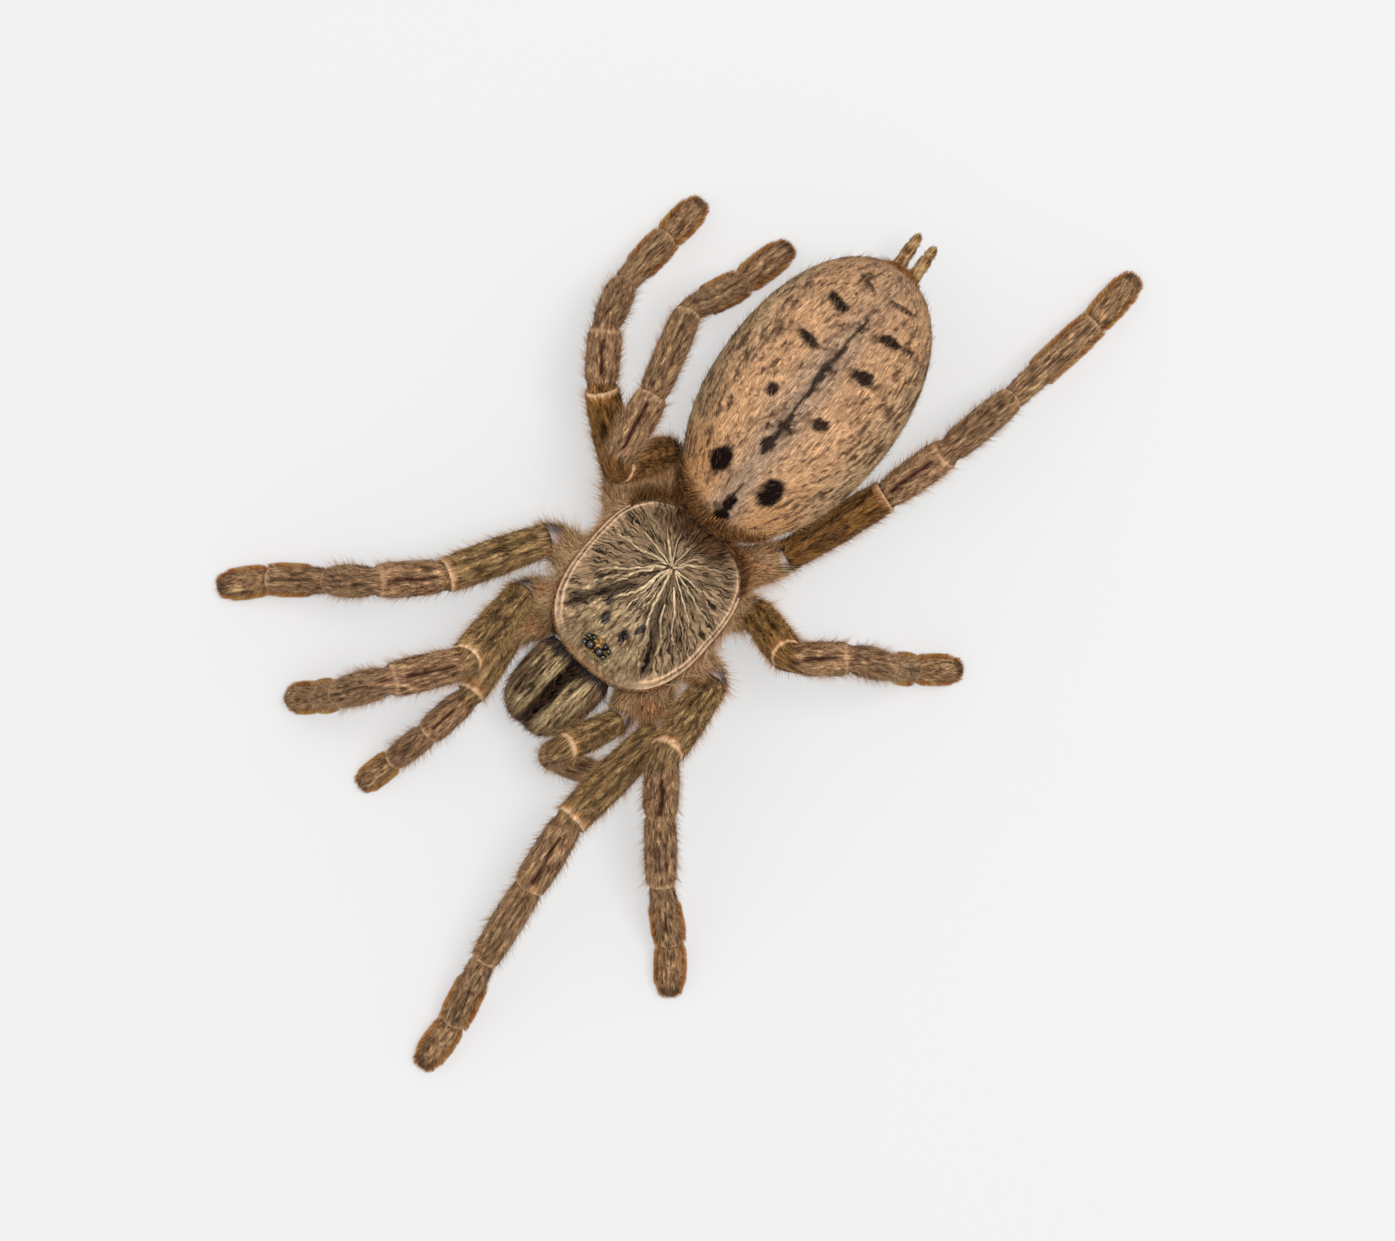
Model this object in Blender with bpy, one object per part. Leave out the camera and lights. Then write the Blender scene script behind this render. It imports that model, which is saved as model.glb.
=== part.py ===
"""A baboon tarantula (Pterinochilus lugardi), an adult female, as a still life-size model on its feet.

The body lies along Y with the head towards -Y, +Z is up, and the animal's left side is at +X. Shapes are
worked out in millimetres about the fovea, the dimple in the carapace, and are moved at the end so that
the origin is the middle of the model's box, on the floor.
"""

import math

import bmesh
import bpy
from mathutils import Vector

MM = 0.001
GAP = 0.3
LEFT = 1
RIGHT = -1
UP = Vector((0, 0, 1))

# Carapace outline about the fovea: widest at WAIST_Y, blunt at both ends.
CARAPACE_HALF_WIDTH = 7.4
CARAPACE_WAIST_Y = -3.45
CARAPACE_FRONT_LENGTH = 8.75
CARAPACE_REAR_LENGTH = 8.3
CARAPACE_FRONT_POWER = 2.6
CARAPACE_REAR_POWER = 3.0
CARAPACE_UNDERSIDE_Z = 8.7
CARAPACE_RIM_Z = 9.2
CLYPEUS_RISE = 1.0
THORAX_RISE = 2.2
HEAD_RISE = 1.5
HEAD_CENTRE_Y = -7.6
HEAD_HALF_WIDTH = 4.0
HEAD_HALF_LENGTH = 4.4
FOVEA_DEPTH = 0.6
FURROW_DEPTH = 0.3
CARAPACE_SIDES = 40
CARAPACE_RINGS = (0.12, 0.25, 0.4, 0.55, 0.7, 0.82, 0.91, 0.97, 1.0)
# Directions of the furrows that run out from the fovea, in degrees from straight ahead, on each side.
FURROW_ANGLES = (36, 81, 108, 153)

# The mound that carries the eight eyes, in a flat seat on the carapace.
MOUND_X = -0.45
MOUND_Y = -10.0
MOUND_HALF_WIDTH = 1.45
MOUND_HALF_LENGTH = 0.92
MOUND_SEAT_Z = 11.4
MOUND_TOP_Z = 12.7
MOUND_SIDES = 20
# Each eye's place on the mound (across, along, as shares of its half sizes) and its radius.
EYES = {
    "front_middle": (0.4, -0.3, 0.36),
    "front_side": (0.8, -0.55, 0.27),
    "rear_side": (0.84, 0.36, 0.26),
    "rear_middle": (0.52, 0.52, 0.2),
}

# The body under the carapace: the sternum plate in the middle, and the coxae on both sides of it.
STERNUM_HALF_WIDTH = 3.1
STERNUM_Z = 3.2
CORE_TOP_Z = CARAPACE_UNDERSIDE_Z - GAP
CORE_FRONT_Y = -12.0
CORE_REAR_Y = 3.9
FLANK_UNDERSIDE_Z = 5.6
FLANK_INSET = 0.93
COXA_RADIUS = 2.0
PALP_COXA_RADIUS = 1.35

ABDOMEN_FRONT = Vector((0.0, 4.93, 10.6))
ABDOMEN_REAR = Vector((-1.3, 34.5, 8.3))
ABDOMEN_FLAT_Y = 33.85
ABDOMEN_HALF_WIDTH = 9.05
ABDOMEN_UPPER_HEIGHT = 8.2
ABDOMEN_LOWER_HEIGHT = 8.2
# How much narrower the belly is than an ellipse, so that it clears the hind legs.
ABDOMEN_BELLY_TUCK = 0.12
ABDOMEN_WIDEST_SHARE = 0.51
ABDOMEN_POWER = 2.1
ABDOMEN_SIDES = 28
ABDOMEN_RINGS = 17
PEDICEL_RADIUS = 1.3
PEDICEL_Z = 6.9

SPINNERET_LENGTH = 4.3
SPINNERET_RADIUS = 0.66

CHELICERA_BASE_Y = CORE_FRONT_Y - GAP - 0.2
CHELICERA_LENGTH = 7.3
CHELICERA_HALF_WIDTH = 1.92
CHELICERA_HALF_HEIGHT = 2.6
CHELICERA_BASE_Z = 7.1
CHELICERA_DROP = 2.1
CHELICERA_MIDDLE_X = -0.75
CHELICERA_SWING = -0.5
# How far a narrower section moves to the middle, as a share of what it lost in half width.
INNER_SHIFT = 0.92
FANG_LENGTH = 5.0
FANG_RADIUS = 0.62

FOOT_SINK = 0.12
LIMB_SIDES = 12
CAP_ANGLES = (30, 62)

# Lengths of the free segments of each kind of limb, from the trochanter out.
LEG_SEGMENTS = ("femur", "patella", "tibia", "metatarsus", "tarsus")
PALP_SEGMENTS = ("femur", "patella", "tibia", "tarsus")
LENGTHS = {
    "leg1": (12.4, 7.4, 8.6, 7.8, 5.5),
    "leg2": (11.0, 6.8, 7.4, 7.3, 5.6),
    "leg3": (9.3, 5.6, 6.0, 7.3, 5.5),
    "leg4": (11.2, 7.6, 9.0, 11.2, 6.6),
    "palp": (7.2, 5.5, 5.9, 5.2),
}
GIRTH = {"leg1": 1.0, "leg2": 1.0, "leg3": 0.97, "leg4": 0.97, "palp": 0.84}
# Radius of each segment at its root, a sixth along, in the middle, five sixths along and at its end.
RADII = {
    "femur": (1.6, 1.75, 1.9, 1.85, 1.7),
    "patella": (1.6, 1.75, 1.8, 1.8, 1.6),
    "tibia": (1.5, 1.62, 1.66, 1.6, 1.42),
    "metatarsus": (1.3, 1.4, 1.45, 1.5, 1.3),
    "tarsus": (1.2, 1.38, 1.45, 1.4, 1.15),
}
STATIONS = (0.0, 1 / 6, 0.5, 5 / 6, 1.0)

# Where each limb leaves its coxa, and how each segment points from there: the heading is 0 ahead, 90 out
# to the limb's own side and 180 to the rear, and the pitch is upwards. The last segment's pitch is the
# one that puts the foot on the floor.
LIMBS = {
    "leg1_left": {
        "root": (3.2, -8.0, 5.6),
        "hip": (8.9, -12.1, 7.2),
        "heading": (-4, 9, 9, 14, 5),
        "pitch": (16, -18, -18, -29),
    },
    "leg1_right": {
        "root": (-3.2, -8.0, 5.6),
        "hip": (-8.8, -10.8, 7.0),
        "heading": (-2, 36, 35, 40, 45),
        "pitch": (49, 20, -55, -72),
    },
    "leg2_left": {
        "root": (3.2, -5.0, 5.6),
        "hip": (9.8, -5.6, 6.9),
        "heading": (6, 38, 41, 49, 40),
        "pitch": (42, -39, -24, -40),
    },
    "leg2_right": {
        "root": (-3.2, -5.0, 5.6),
        "hip": (-10.2, -5.2, 6.9),
        "heading": (29, 45, 51, 51, 42),
        "pitch": (18, 21, -55, -35),
    },
    "leg3_left": {
        "root": (3.2, -2.0, 5.6),
        "hip": (8.6, 1.8, 6.9),
        "heading": (76, 131, 117, 124, 130),
        "pitch": (56, 0, -53, -70),
    },
    "leg3_right": {
        "root": (-3.2, -2.0, 5.6),
        "hip": (-8.8, 2.9, 6.9),
        "heading": (128, 144, 160, 180, 182),
        "pitch": (21, 6, -44, -34),
    },
    "leg4_left": {
        "root": (2.9, 0.9, 5.6),
        "hip": (7.3, 7.3, 6.4),
        "heading": (162, 166, 170, 173, 178),
        "pitch": (3, 27, -31, -17),
    },
    "leg4_right": {
        "root": (-2.9, 0.9, 5.6),
        "hip": (-7.0, 8.0, 6.9),
        "heading": (29, 167, 162, 196, 191),
        "pitch": (61, -8, -20, -59),
    },
    "palp_left": {
        "root": (3.8, -9.4, 5.2),
        "hip": (5.6, -13.9, 6.6),
        "heading": (-24, -5, 110, 160),
        "pitch": (32, -76, -27),
    },
    "palp_right": {
        "root": (-4.7, -9.4, 5.2),
        "hip": (-7.2, -14.6, 6.6),
        "heading": (-7, 8, 13, 12),
        "pitch": (21, -20, -45),
    },
}

COLOURS = {
    "carapace": (0.19, 0.15, 0.09),
    "sternum": (0.2, 0.13, 0.08),
    "coxae": (0.23, 0.15, 0.09),
    "abdomen": (0.42, 0.27, 0.17),
    "chelicera": (0.15, 0.12, 0.07),
    "fang": (0.02, 0.008, 0.005),
    "ocular_mound": (0.02, 0.017, 0.012),
    "spinneret": (0.35, 0.17, 0.07),
    "femur": (0.14, 0.09, 0.05),
    "patella": (0.2, 0.13, 0.08),
    "tibia": (0.19, 0.13, 0.08),
    "metatarsus": (0.2, 0.13, 0.075),
    "tarsus": (0.22, 0.13, 0.065),
}
ROUGHNESS = {"fang": 0.25, "ocular_mound": 0.3}
FUR_ROUGHNESS = 0.85


def smooth_step(value, low, high):
    """Rises smoothly from 0 at low to 1 at high."""
    share = min(max((value - low) / (high - low), 0.0), 1.0)
    return share * share * (3 - 2 * share)


def direction(side, heading, pitch):
    """The unit vector of a heading and pitch in degrees, on one side of the body."""
    turn = math.radians(heading)
    lift = math.radians(pitch)
    ahead = math.cos(turn) * math.cos(lift)
    outward = math.sin(turn) * math.cos(lift)
    return Vector((side * outward, -ahead, math.sin(lift)))


def loft(rings, start_pole=None, end_pole=None):
    """A closed mesh through rings of equally many points; an end without a pole is one flat face."""
    bm = bmesh.new()
    rows = [[bm.verts.new(point) for point in ring] for ring in rings]
    count = len(rings[0])
    for row, following in zip(rows, rows[1:]):
        for i in range(count):
            j = (i + 1) % count
            bm.faces.new((row[i], row[j], following[j], following[i]))
    for row, pole in ((rows[0], start_pole), (rows[-1], end_pole)):
        if pole is None:
            bm.faces.new(row)
            continue
        tip = bm.verts.new(pole)
        for i in range(count):
            bm.faces.new((row[i], row[(i + 1) % count], tip))
    bmesh.ops.recalc_face_normals(bm, faces=bm.faces)
    return bm


def ring_about(centre, along, half_width, half_height, sides):
    """Points of an ellipse about a centre, square to a direction, its height axis nearest to +Z."""
    across = along.cross(UP).normalized()
    height = across.cross(along).normalized()
    points = []
    for i in range(sides):
        angle = 2 * math.pi * (i + 0.5) / sides
        points.append(centre + across * (half_width * math.cos(angle)) + height * (half_height * math.sin(angle)))
    return points


def cut(bm, point, normal):
    """Cuts away what lies on the normal's side of a plane, and closes the cut with one flat face."""
    geometry = bm.verts[:] + bm.edges[:] + bm.faces[:]
    bmesh.ops.bisect_plane(bm, geom=geometry, dist=1e-4, plane_co=point, plane_no=normal, clear_outer=True)
    rim = [edge for edge in bm.edges if edge.is_boundary]
    bmesh.ops.holes_fill(bm, edges=rim, sides=0)
    bmesh.ops.recalc_face_normals(bm, faces=bm.faces)


def material_for(kind):
    """The material of one kind of sub-part."""
    name = kind + "_surface"
    material = bpy.data.materials.get(name)
    if material is None:
        material = bpy.data.materials.new(name)
        material.use_nodes = True
        shader = material.node_tree.nodes["Principled BSDF"]
        shader.inputs["Base Color"].default_value = (*COLOURS[kind], 1.0)
        shader.inputs["Roughness"].default_value = ROUGHNESS.get(kind, FUR_ROUGHNESS)
        shader.inputs["Metallic"].default_value = 0.0
    return material


def add_object(name, bm, kind):
    """Turns a mesh in millimetres into a named object in metres, shaded smooth across soft edges."""
    bmesh.ops.scale(bm, vec=(MM, MM, MM), verts=bm.verts)
    mesh = bpy.data.meshes.new(name)
    bm.to_mesh(mesh)
    bm.free()
    mesh.materials.append(material_for(kind))
    mesh.shade_smooth()
    mesh.set_sharp_from_angle(angle=math.radians(50))
    thing = bpy.data.objects.new(name, mesh)
    bpy.context.scene.collection.objects.link(thing)
    return thing


def largest_shell(thing):
    """Keeps only the largest closed surface of an object's mesh."""
    bm = bmesh.new()
    bm.from_mesh(thing.data)
    unseen = set(bm.faces)
    shells = []
    while unseen:
        stack = [unseen.pop()]
        shell = list(stack)
        while stack:
            face = stack.pop()
            for edge in face.edges:
                for other in edge.link_faces:
                    if other in unseen:
                        unseen.remove(other)
                        stack.append(other)
                        shell.append(other)
        shells.append(shell)
    shells.sort(key=lambda faces: sum(face.calc_area() for face in faces))
    loose = [face for shell in shells[:-1] for face in shell]
    bmesh.ops.delete(bm, geom=loose, context="FACES")
    bm.to_mesh(thing.data)
    bm.free()


def apply_boolean(thing, tools, operation):
    """Joins tool objects to an object, or cuts them out of it, and removes them."""
    collection = bpy.data.collections.new("tools")
    for tool in tools:
        bpy.context.scene.collection.objects.unlink(tool)
        collection.objects.link(tool)
    bpy.context.scene.collection.children.link(collection)
    modifier = thing.modifiers.new("boolean", "BOOLEAN")
    modifier.operand_type = "COLLECTION"
    modifier.collection = collection
    modifier.operation = operation
    modifier.solver = "EXACT"
    bpy.context.view_layer.update()
    evaluated = thing.evaluated_get(bpy.context.evaluated_depsgraph_get())
    result = bpy.data.meshes.new_from_object(evaluated)
    thing.modifiers.clear()
    old = thing.data
    thing.data = result
    result.name = old.name + "_joined"
    bpy.data.meshes.remove(old)
    for tool in list(collection.objects):
        bpy.data.objects.remove(tool)
    bpy.data.collections.remove(collection)
    largest_shell(thing)
    thing.data.shade_smooth()
    thing.data.set_sharp_from_angle(angle=math.radians(50))


def carapace_outline(angle):
    """A point of the carapace's outline: the angle runs from straight ahead towards the left side."""
    length = CARAPACE_FRONT_LENGTH if math.cos(angle) > 0 else CARAPACE_REAR_LENGTH
    power = CARAPACE_FRONT_POWER if math.cos(angle) > 0 else CARAPACE_REAR_POWER
    ahead = abs(math.cos(angle)) ** (2 / power)
    outward = abs(math.sin(angle)) ** (2 / power)
    x = math.copysign(CARAPACE_HALF_WIDTH * outward, math.sin(angle))
    y = CARAPACE_WAIST_Y - math.copysign(length * ahead, math.cos(angle))
    return Vector((x, y, 0))


def outline_towards(angle):
    """The outline's point that lies in a direction from the fovea, found by halving."""
    low, high = 0.0, math.pi
    for _ in range(40):
        middle = (low + high) / 2
        point = carapace_outline(middle)
        if math.atan2(point.x, -point.y) < abs(angle):
            low = middle
        else:
            high = middle
    point = carapace_outline(low)
    point.x = math.copysign(point.x, angle)
    return point


def carapace_height(x, y, reach, on_furrow):
    """Height of the carapace where reach is the share of the way from the fovea to the outline."""
    rim = CARAPACE_RIM_Z + CLYPEUS_RISE * smooth_step(-y, 7.0, 11.5)
    dome = THORAX_RISE * (1 - reach ** 2.4)
    head_x = abs(x) / HEAD_HALF_WIDTH
    head_y = abs(y - HEAD_CENTRE_Y) / HEAD_HALF_LENGTH
    head = HEAD_RISE * math.exp(-head_x ** 3 - head_y ** 4) * (1 - reach ** 8)
    fovea = FOVEA_DEPTH * math.exp(-(reach / 0.14) ** 2)
    furrow = FURROW_DEPTH * math.sin(math.pi * reach) if on_furrow else 0.0
    return rim + dome + head - fovea - furrow


def add_carapace():
    angles = [2 * math.pi * i / CARAPACE_SIDES for i in range(CARAPACE_SIDES)]
    turns = [(angle + math.pi) % (2 * math.pi) - math.pi for angle in angles]
    outline = [outline_towards(turn) for turn in turns]
    furrowed = [any(abs(abs(math.degrees(turn)) - furrow) < 1 for furrow in FURROW_ANGLES) for turn in turns]
    rings = []
    for inset in (0.9, 1.0):
        rings.append([Vector((p.x * inset, p.y * inset, CARAPACE_UNDERSIDE_Z)) for p in outline])
    for reach in reversed(CARAPACE_RINGS):
        ring = []
        for point, on_furrow in zip(outline, furrowed):
            x, y = point.x * reach, point.y * reach
            ring.append(Vector((x, y, carapace_height(x, y, reach, on_furrow))))
        rings.append(ring)
    top = Vector((0, 0, carapace_height(0, 0, 0, False)))
    carapace = add_object("carapace", loft(rings, None, top), "carapace")

    across, along = MOUND_HALF_WIDTH + GAP * 1.3, MOUND_HALF_LENGTH + GAP * 1.3
    seat = []
    for height in (MOUND_SEAT_Z, MOUND_SEAT_Z + 3):
        seat.append(mound_ring(across, along, height))
    seat_cutter = add_object("seat_cutter", loft(seat), "ocular_mound")
    apply_boolean(carapace, [seat_cutter], "DIFFERENCE")


def mound_ring(half_width, half_length, z):
    """A level ellipse of points about the mound's middle."""
    points = []
    for i in range(MOUND_SIDES):
        angle = 2 * math.pi * i / MOUND_SIDES
        x = MOUND_X + half_width * math.cos(angle)
        points.append(Vector((x, MOUND_Y + half_length * math.sin(angle), z)))
    return points


def add_ocular_mound():
    base_z = MOUND_SEAT_Z + GAP
    height = MOUND_TOP_Z - base_z
    rings = []
    for share in (0.0, 0.45, 0.8):
        width = math.sqrt(1 - share * share)
        z = base_z + height * share
        rings.append(mound_ring(MOUND_HALF_WIDTH * width, MOUND_HALF_LENGTH * width, z))
    top = Vector((MOUND_X, MOUND_Y, MOUND_TOP_Z))
    mound = add_object("ocular_mound", loft(rings, None, top), "ocular_mound")
    eyes = []
    for across, along, radius in EYES.values():
        for side in (LEFT, RIGHT):
            rise = math.sqrt(max(0.06, 1 - across ** 2 - along ** 2))
            x = MOUND_X + side * across * MOUND_HALF_WIDTH * 0.93
            centre = Vector((x, MOUND_Y + along * MOUND_HALF_LENGTH, 0))
            centre.z = max(base_z + height * rise - radius * 0.25, base_z + radius + 0.06)
            bm = bmesh.new()
            bmesh.ops.create_icosphere(bm, subdivisions=1, radius=radius)
            bmesh.ops.translate(bm, vec=centre, verts=bm.verts)
            eyes.append(add_object("eye", bm, "ocular_mound"))
    apply_boolean(mound, eyes, "UNION")


def add_sternum():
    # Underside height and the width there as a share, from the mouth over the labium and the shield-shaped
    # sternum plate to the waist. The step between the two is the groove behind the labium.
    keel = (
        (CORE_FRONT_Y, 5.4, 0.3),
        (-11.2, 4.3, 0.42),
        (-10.1, 3.75, 0.5),
        (-9.5, 3.8, 0.46),
        (-9.25, 4.3, 0.44),
        (-9.0, 3.75, 0.6),
        (-8.0, STERNUM_Z + 0.2, 0.82),
        (-5.0, STERNUM_Z, 0.96),
        (-1.8, STERNUM_Z, 0.88),
        (0.8, STERNUM_Z + 0.3, 0.62),
        (2.4, 4.1, 0.34),
        (CORE_REAR_Y, 5.4, 0.3),
    )
    half = STERNUM_HALF_WIDTH
    rings = []
    for y, z, width in keel:
        low = half * width
        section = (
            (-half, CORE_TOP_Z), (half, CORE_TOP_Z), (half, 5.9), (low, z + 0.7), (low * 0.75, z + 0.15),
            (0, z), (-low * 0.75, z + 0.15), (-low, z + 0.7), (-half, 5.9),
        )
        rings.append([Vector((x, y, height)) for x, height in section])
    add_object("sternum", loft(rings), "sternum")


def capsule(start, end, radii):
    """A limb segment: a round tube with a dome at both ends, its radii spread over its length."""
    along = (end - start).normalized()
    rings = []
    for angle in reversed(CAP_ANGLES):
        turn = math.radians(angle)
        centre = start - along * (radii[0] * math.sin(turn))
        width = radii[0] * math.cos(turn)
        rings.append(ring_about(centre, along, width, width, LIMB_SIDES))
    for station, radius in zip(STATIONS, radii):
        rings.append(ring_about(start.lerp(end, station), along, radius, radius, LIMB_SIDES))
    for angle in CAP_ANGLES:
        turn = math.radians(angle)
        centre = end + along * (radii[-1] * math.sin(turn))
        width = radii[-1] * math.cos(turn)
        rings.append(ring_about(centre, along, width, width, LIMB_SIDES))
    return loft(rings, start - along * radii[0], end + along * radii[-1])


def limb_joints(name):
    """The points where a limb's coxa and free segments begin and end, from its root to its foot."""
    limb = LIMBS[name]
    kind, side_name = name.split("_")
    side = LEFT if side_name == "left" else RIGHT
    lengths = LENGTHS[kind]
    points = [Vector(limb["root"]), Vector(limb["hip"])]
    for length, heading, pitch in zip(lengths, limb["heading"], limb["pitch"]):
        points.append(points[-1] + direction(side, heading, pitch) * length)
    tip_radius = RADII["tarsus"][-1] * GIRTH[kind]
    reach = lengths[-1] - tip_radius
    drop = points[-1].z - (tip_radius - FOOT_SINK)
    pitch = -math.degrees(math.asin(drop / reach))
    points.append(points[-1] + direction(side, limb["heading"][-1], pitch) * reach)
    return points


def joint_planes(points):
    """Each joint's middle plane: it passes the joint and leans halfway between the two segments."""
    planes = []
    for before, joint, after in zip(points, points[1:], points[2:]):
        lean = (joint - before).normalized() + (after - joint).normalized()
        planes.append((joint, lean.normalized()))
    return planes


def add_limb(name):
    """The free segments of one limb, parted by a thin cut at each joint."""
    kind = name.split("_")[0]
    segments = PALP_SEGMENTS if kind == "palp" else LEG_SEGMENTS
    points = limb_joints(name)
    planes = joint_planes(points)
    for i, segment in enumerate(segments):
        radii = [radius * GIRTH[kind] for radius in RADII[segment]]
        bm = capsule(points[i + 1], points[i + 2], radii)
        joint, lean = planes[i]
        cut(bm, joint + lean * (GAP / 2), -lean)
        if segment == "tarsus":
            cut(bm, Vector((0, 0, 0)), -UP)
        else:
            joint, lean = planes[i + 1]
            cut(bm, joint - lean * (GAP / 2), lean)
        add_object(name + "_" + segment, bm, segment)


def add_coxae(side, side_name):
    """The coxae and trochanters of one side, grown together with the flank that they spring from."""
    outline = [carapace_outline(2 * math.pi * i / CARAPACE_SIDES) * FLANK_INSET for i in range(CARAPACE_SIDES)]
    rings = []
    for inset, z in ((0.8, FLANK_UNDERSIDE_Z), (1.0, FLANK_UNDERSIDE_Z + 1.0), (1.0, CORE_TOP_Z)):
        rings.append([Vector((p.x * inset, p.y * inset, z)) for p in outline])
    bm = loft(rings)
    inner = side * (STERNUM_HALF_WIDTH + GAP)
    inward = Vector((-side, 0, 0))
    cut(bm, Vector((inner, 0, 0)), inward)
    cut(bm, Vector((0, CORE_FRONT_Y, 0)), Vector((0, -1, 0)))
    flank = add_object("coxae_" + side_name, bm, "coxae")
    coxae = []
    for name in LIMBS:
        if not name.endswith(side_name):
            continue
        points = limb_joints(name)
        radius = PALP_COXA_RADIUS if name.startswith("palp") else COXA_RADIUS
        end_radius = RADII["femur"][0] * GIRTH[name.split("_")[0]]
        radii = (radius, radius, radius, (radius + end_radius) / 2, end_radius)
        bm = capsule(points[0], points[1], radii)
        joint, lean = joint_planes(points)[0]
        cut(bm, joint - lean * (GAP / 2), lean)
        cut(bm, Vector((inner, 0, 0)), inward)
        coxae.append(add_object("coxa", bm, "coxae"))
    apply_boolean(flank, coxae, "UNION")


def abdomen_section(share):
    """Centre, half width, height above and height below of the abdomen, a share of the way along it."""
    power = math.log(0.5) / math.log(ABDOMEN_WIDEST_SHARE)
    along = abs(2 * share ** power - 1)
    fullness = max(0.0, 1 - along ** ABDOMEN_POWER) ** (1 / ABDOMEN_POWER)
    centre = ABDOMEN_FRONT.lerp(ABDOMEN_REAR, share)
    return centre, ABDOMEN_HALF_WIDTH * fullness, ABDOMEN_UPPER_HEIGHT * fullness, ABDOMEN_LOWER_HEIGHT * fullness


def add_abdomen():
    rings = []
    for k in range(1, ABDOMEN_RINGS + 1):
        share = (1 - math.cos(math.pi * k / (ABDOMEN_RINGS + 1))) / 2
        centre, half_width, above, below = abdomen_section(share)
        ring = []
        for i in range(ABDOMEN_SIDES):
            angle = 2 * math.pi * i / ABDOMEN_SIDES
            rise = math.sin(angle)
            height = above if rise > 0 else below
            tuck = 1.0 if rise > 0 else 1 - ABDOMEN_BELLY_TUCK * rise * rise
            ring.append(centre + Vector((half_width * tuck * math.cos(angle), 0, height * rise)))
        rings.append(ring)
    bm = loft(rings, ABDOMEN_FRONT, ABDOMEN_REAR)
    cut(bm, Vector((0, ABDOMEN_FLAT_Y, 0)), Vector((0, 1, 0)))
    abdomen = add_object("abdomen", bm, "abdomen")

    along = Vector((0, 1, 0))
    rings = []
    for y in (CORE_REAR_Y + GAP, 9.5):
        rings.append(ring_about(Vector((0, y, PEDICEL_Z)), along, PEDICEL_RADIUS, PEDICEL_RADIUS, LIMB_SIDES))
    pedicel = add_object("pedicel", loft(rings), "abdomen")
    apply_boolean(abdomen, [pedicel], "UNION")


def add_spinneret(side, side_name):
    """One long spinneret of three short segments, set on the abdomen's blunt rear end."""
    root = Vector((-1.25 + side * 0.85, ABDOMEN_FLAT_Y + GAP, 6.9))
    along = Vector((-0.09 + side * 0.02, 1.0, -0.3)).normalized()
    # Shares of the length and of the radius: each segment swells a little between its joints.
    outline = ((0.0, 0.9), (0.2, 1.0), (0.4, 0.82), (0.46, 0.9), (0.62, 0.88), (0.72, 0.72), (0.78, 0.76), (0.93, 0.55))
    rings = []
    for share, width in outline:
        radius = SPINNERET_RADIUS * width
        centre = root + along * (SPINNERET_LENGTH * share)
        rings.append(ring_about(centre, along, radius, radius, 10))
    rings[0] = [Vector((p.x, root.y, p.z)) for p in rings[0]]
    tip = root + along * SPINNERET_LENGTH
    add_object("spinneret_" + side_name, loft(rings, None, tip), "spinneret")


def chelicera_line(side, share):
    """A point of the chelicera's middle line, which runs forward and bends down."""
    x = CHELICERA_MIDDLE_X + CHELICERA_SWING * share + side * (CHELICERA_HALF_WIDTH + GAP / 2)
    y = CHELICERA_BASE_Y - CHELICERA_LENGTH * share
    z = CHELICERA_BASE_Z + 0.5 * share - (CHELICERA_DROP + 0.5) * share ** 2.4
    return Vector((x, y, z))


def add_chelicera(side, side_name):
    # Shares of the length, the width and the height: blunt from above, and sloping down in front.
    outline = (
        (0.0, 0.93, 0.93),
        (0.1, 0.99, 0.99),
        (0.3, 1.0, 1.0),
        (0.5, 0.98, 0.96),
        (0.67, 0.93, 0.87),
        (0.81, 0.82, 0.73),
        (0.9, 0.67, 0.57),
        (0.96, 0.45, 0.38),
    )
    rings = []
    for share, width, height in outline:
        centre = chelicera_line(side, share)
        following = chelicera_line(side, share + 0.01)
        along = (following - centre).normalized()
        if share == 0.0:
            along = Vector((0, -1, 0))
        half_width = CHELICERA_HALF_WIDTH * width
        shift = Vector((-side * (CHELICERA_HALF_WIDTH - half_width) * INNER_SHIFT, 0, 0))
        rings.append(ring_about(centre + shift, along, half_width, CHELICERA_HALF_HEIGHT * height, 14))
    tip = chelicera_line(side, 1.0) + Vector((-side * CHELICERA_HALF_WIDTH * 0.7, 0, 0))
    bm = loft(rings, None, tip)
    cut(bm, Vector((CHELICERA_MIDDLE_X + side * GAP / 2, CHELICERA_BASE_Y, 0)), chelicera_inner_normal(side))
    add_object("chelicera_" + side_name, bm, "chelicera")


def chelicera_inner_normal(side):
    """Normal of the plane that keeps one chelicera on its own side of the swung midline."""
    midline = Vector((CHELICERA_SWING, -CHELICERA_LENGTH, 0)).normalized()
    return Vector((midline.y * side, -midline.x * side, 0))


def add_fang(side, side_name):
    """One fang, rooted under the chelicera's end and folded back beneath it."""
    root = chelicera_line(side, 0.84)
    root.x -= side * 0.35
    root.z -= CHELICERA_HALF_HEIGHT * 0.7 + GAP * 1.8
    rings = []
    count = 8
    for k in range(count):
        share = k / count
        y = root.y + FANG_LENGTH * share
        z = root.z - 0.55 * math.sin(math.pi * share) - 0.1 * share
        radius = FANG_RADIUS * (1 - 0.8 * share)
        centre = Vector((root.x - side * 0.25 * share, y, z))
        slope = Vector((-side * 0.05, 1.0, -0.35 * math.cos(math.pi * share))).normalized()
        rings.append(ring_about(centre, slope, radius, radius, 8))
    tip = Vector((root.x - side * 0.25, root.y + FANG_LENGTH, root.z - 0.1))
    start = rings[0]
    front = sum(start, Vector()) / len(start) - Vector((0, 0.45, 0))
    add_object("fang_" + side_name, loft(rings, front, tip), "fang")


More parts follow.
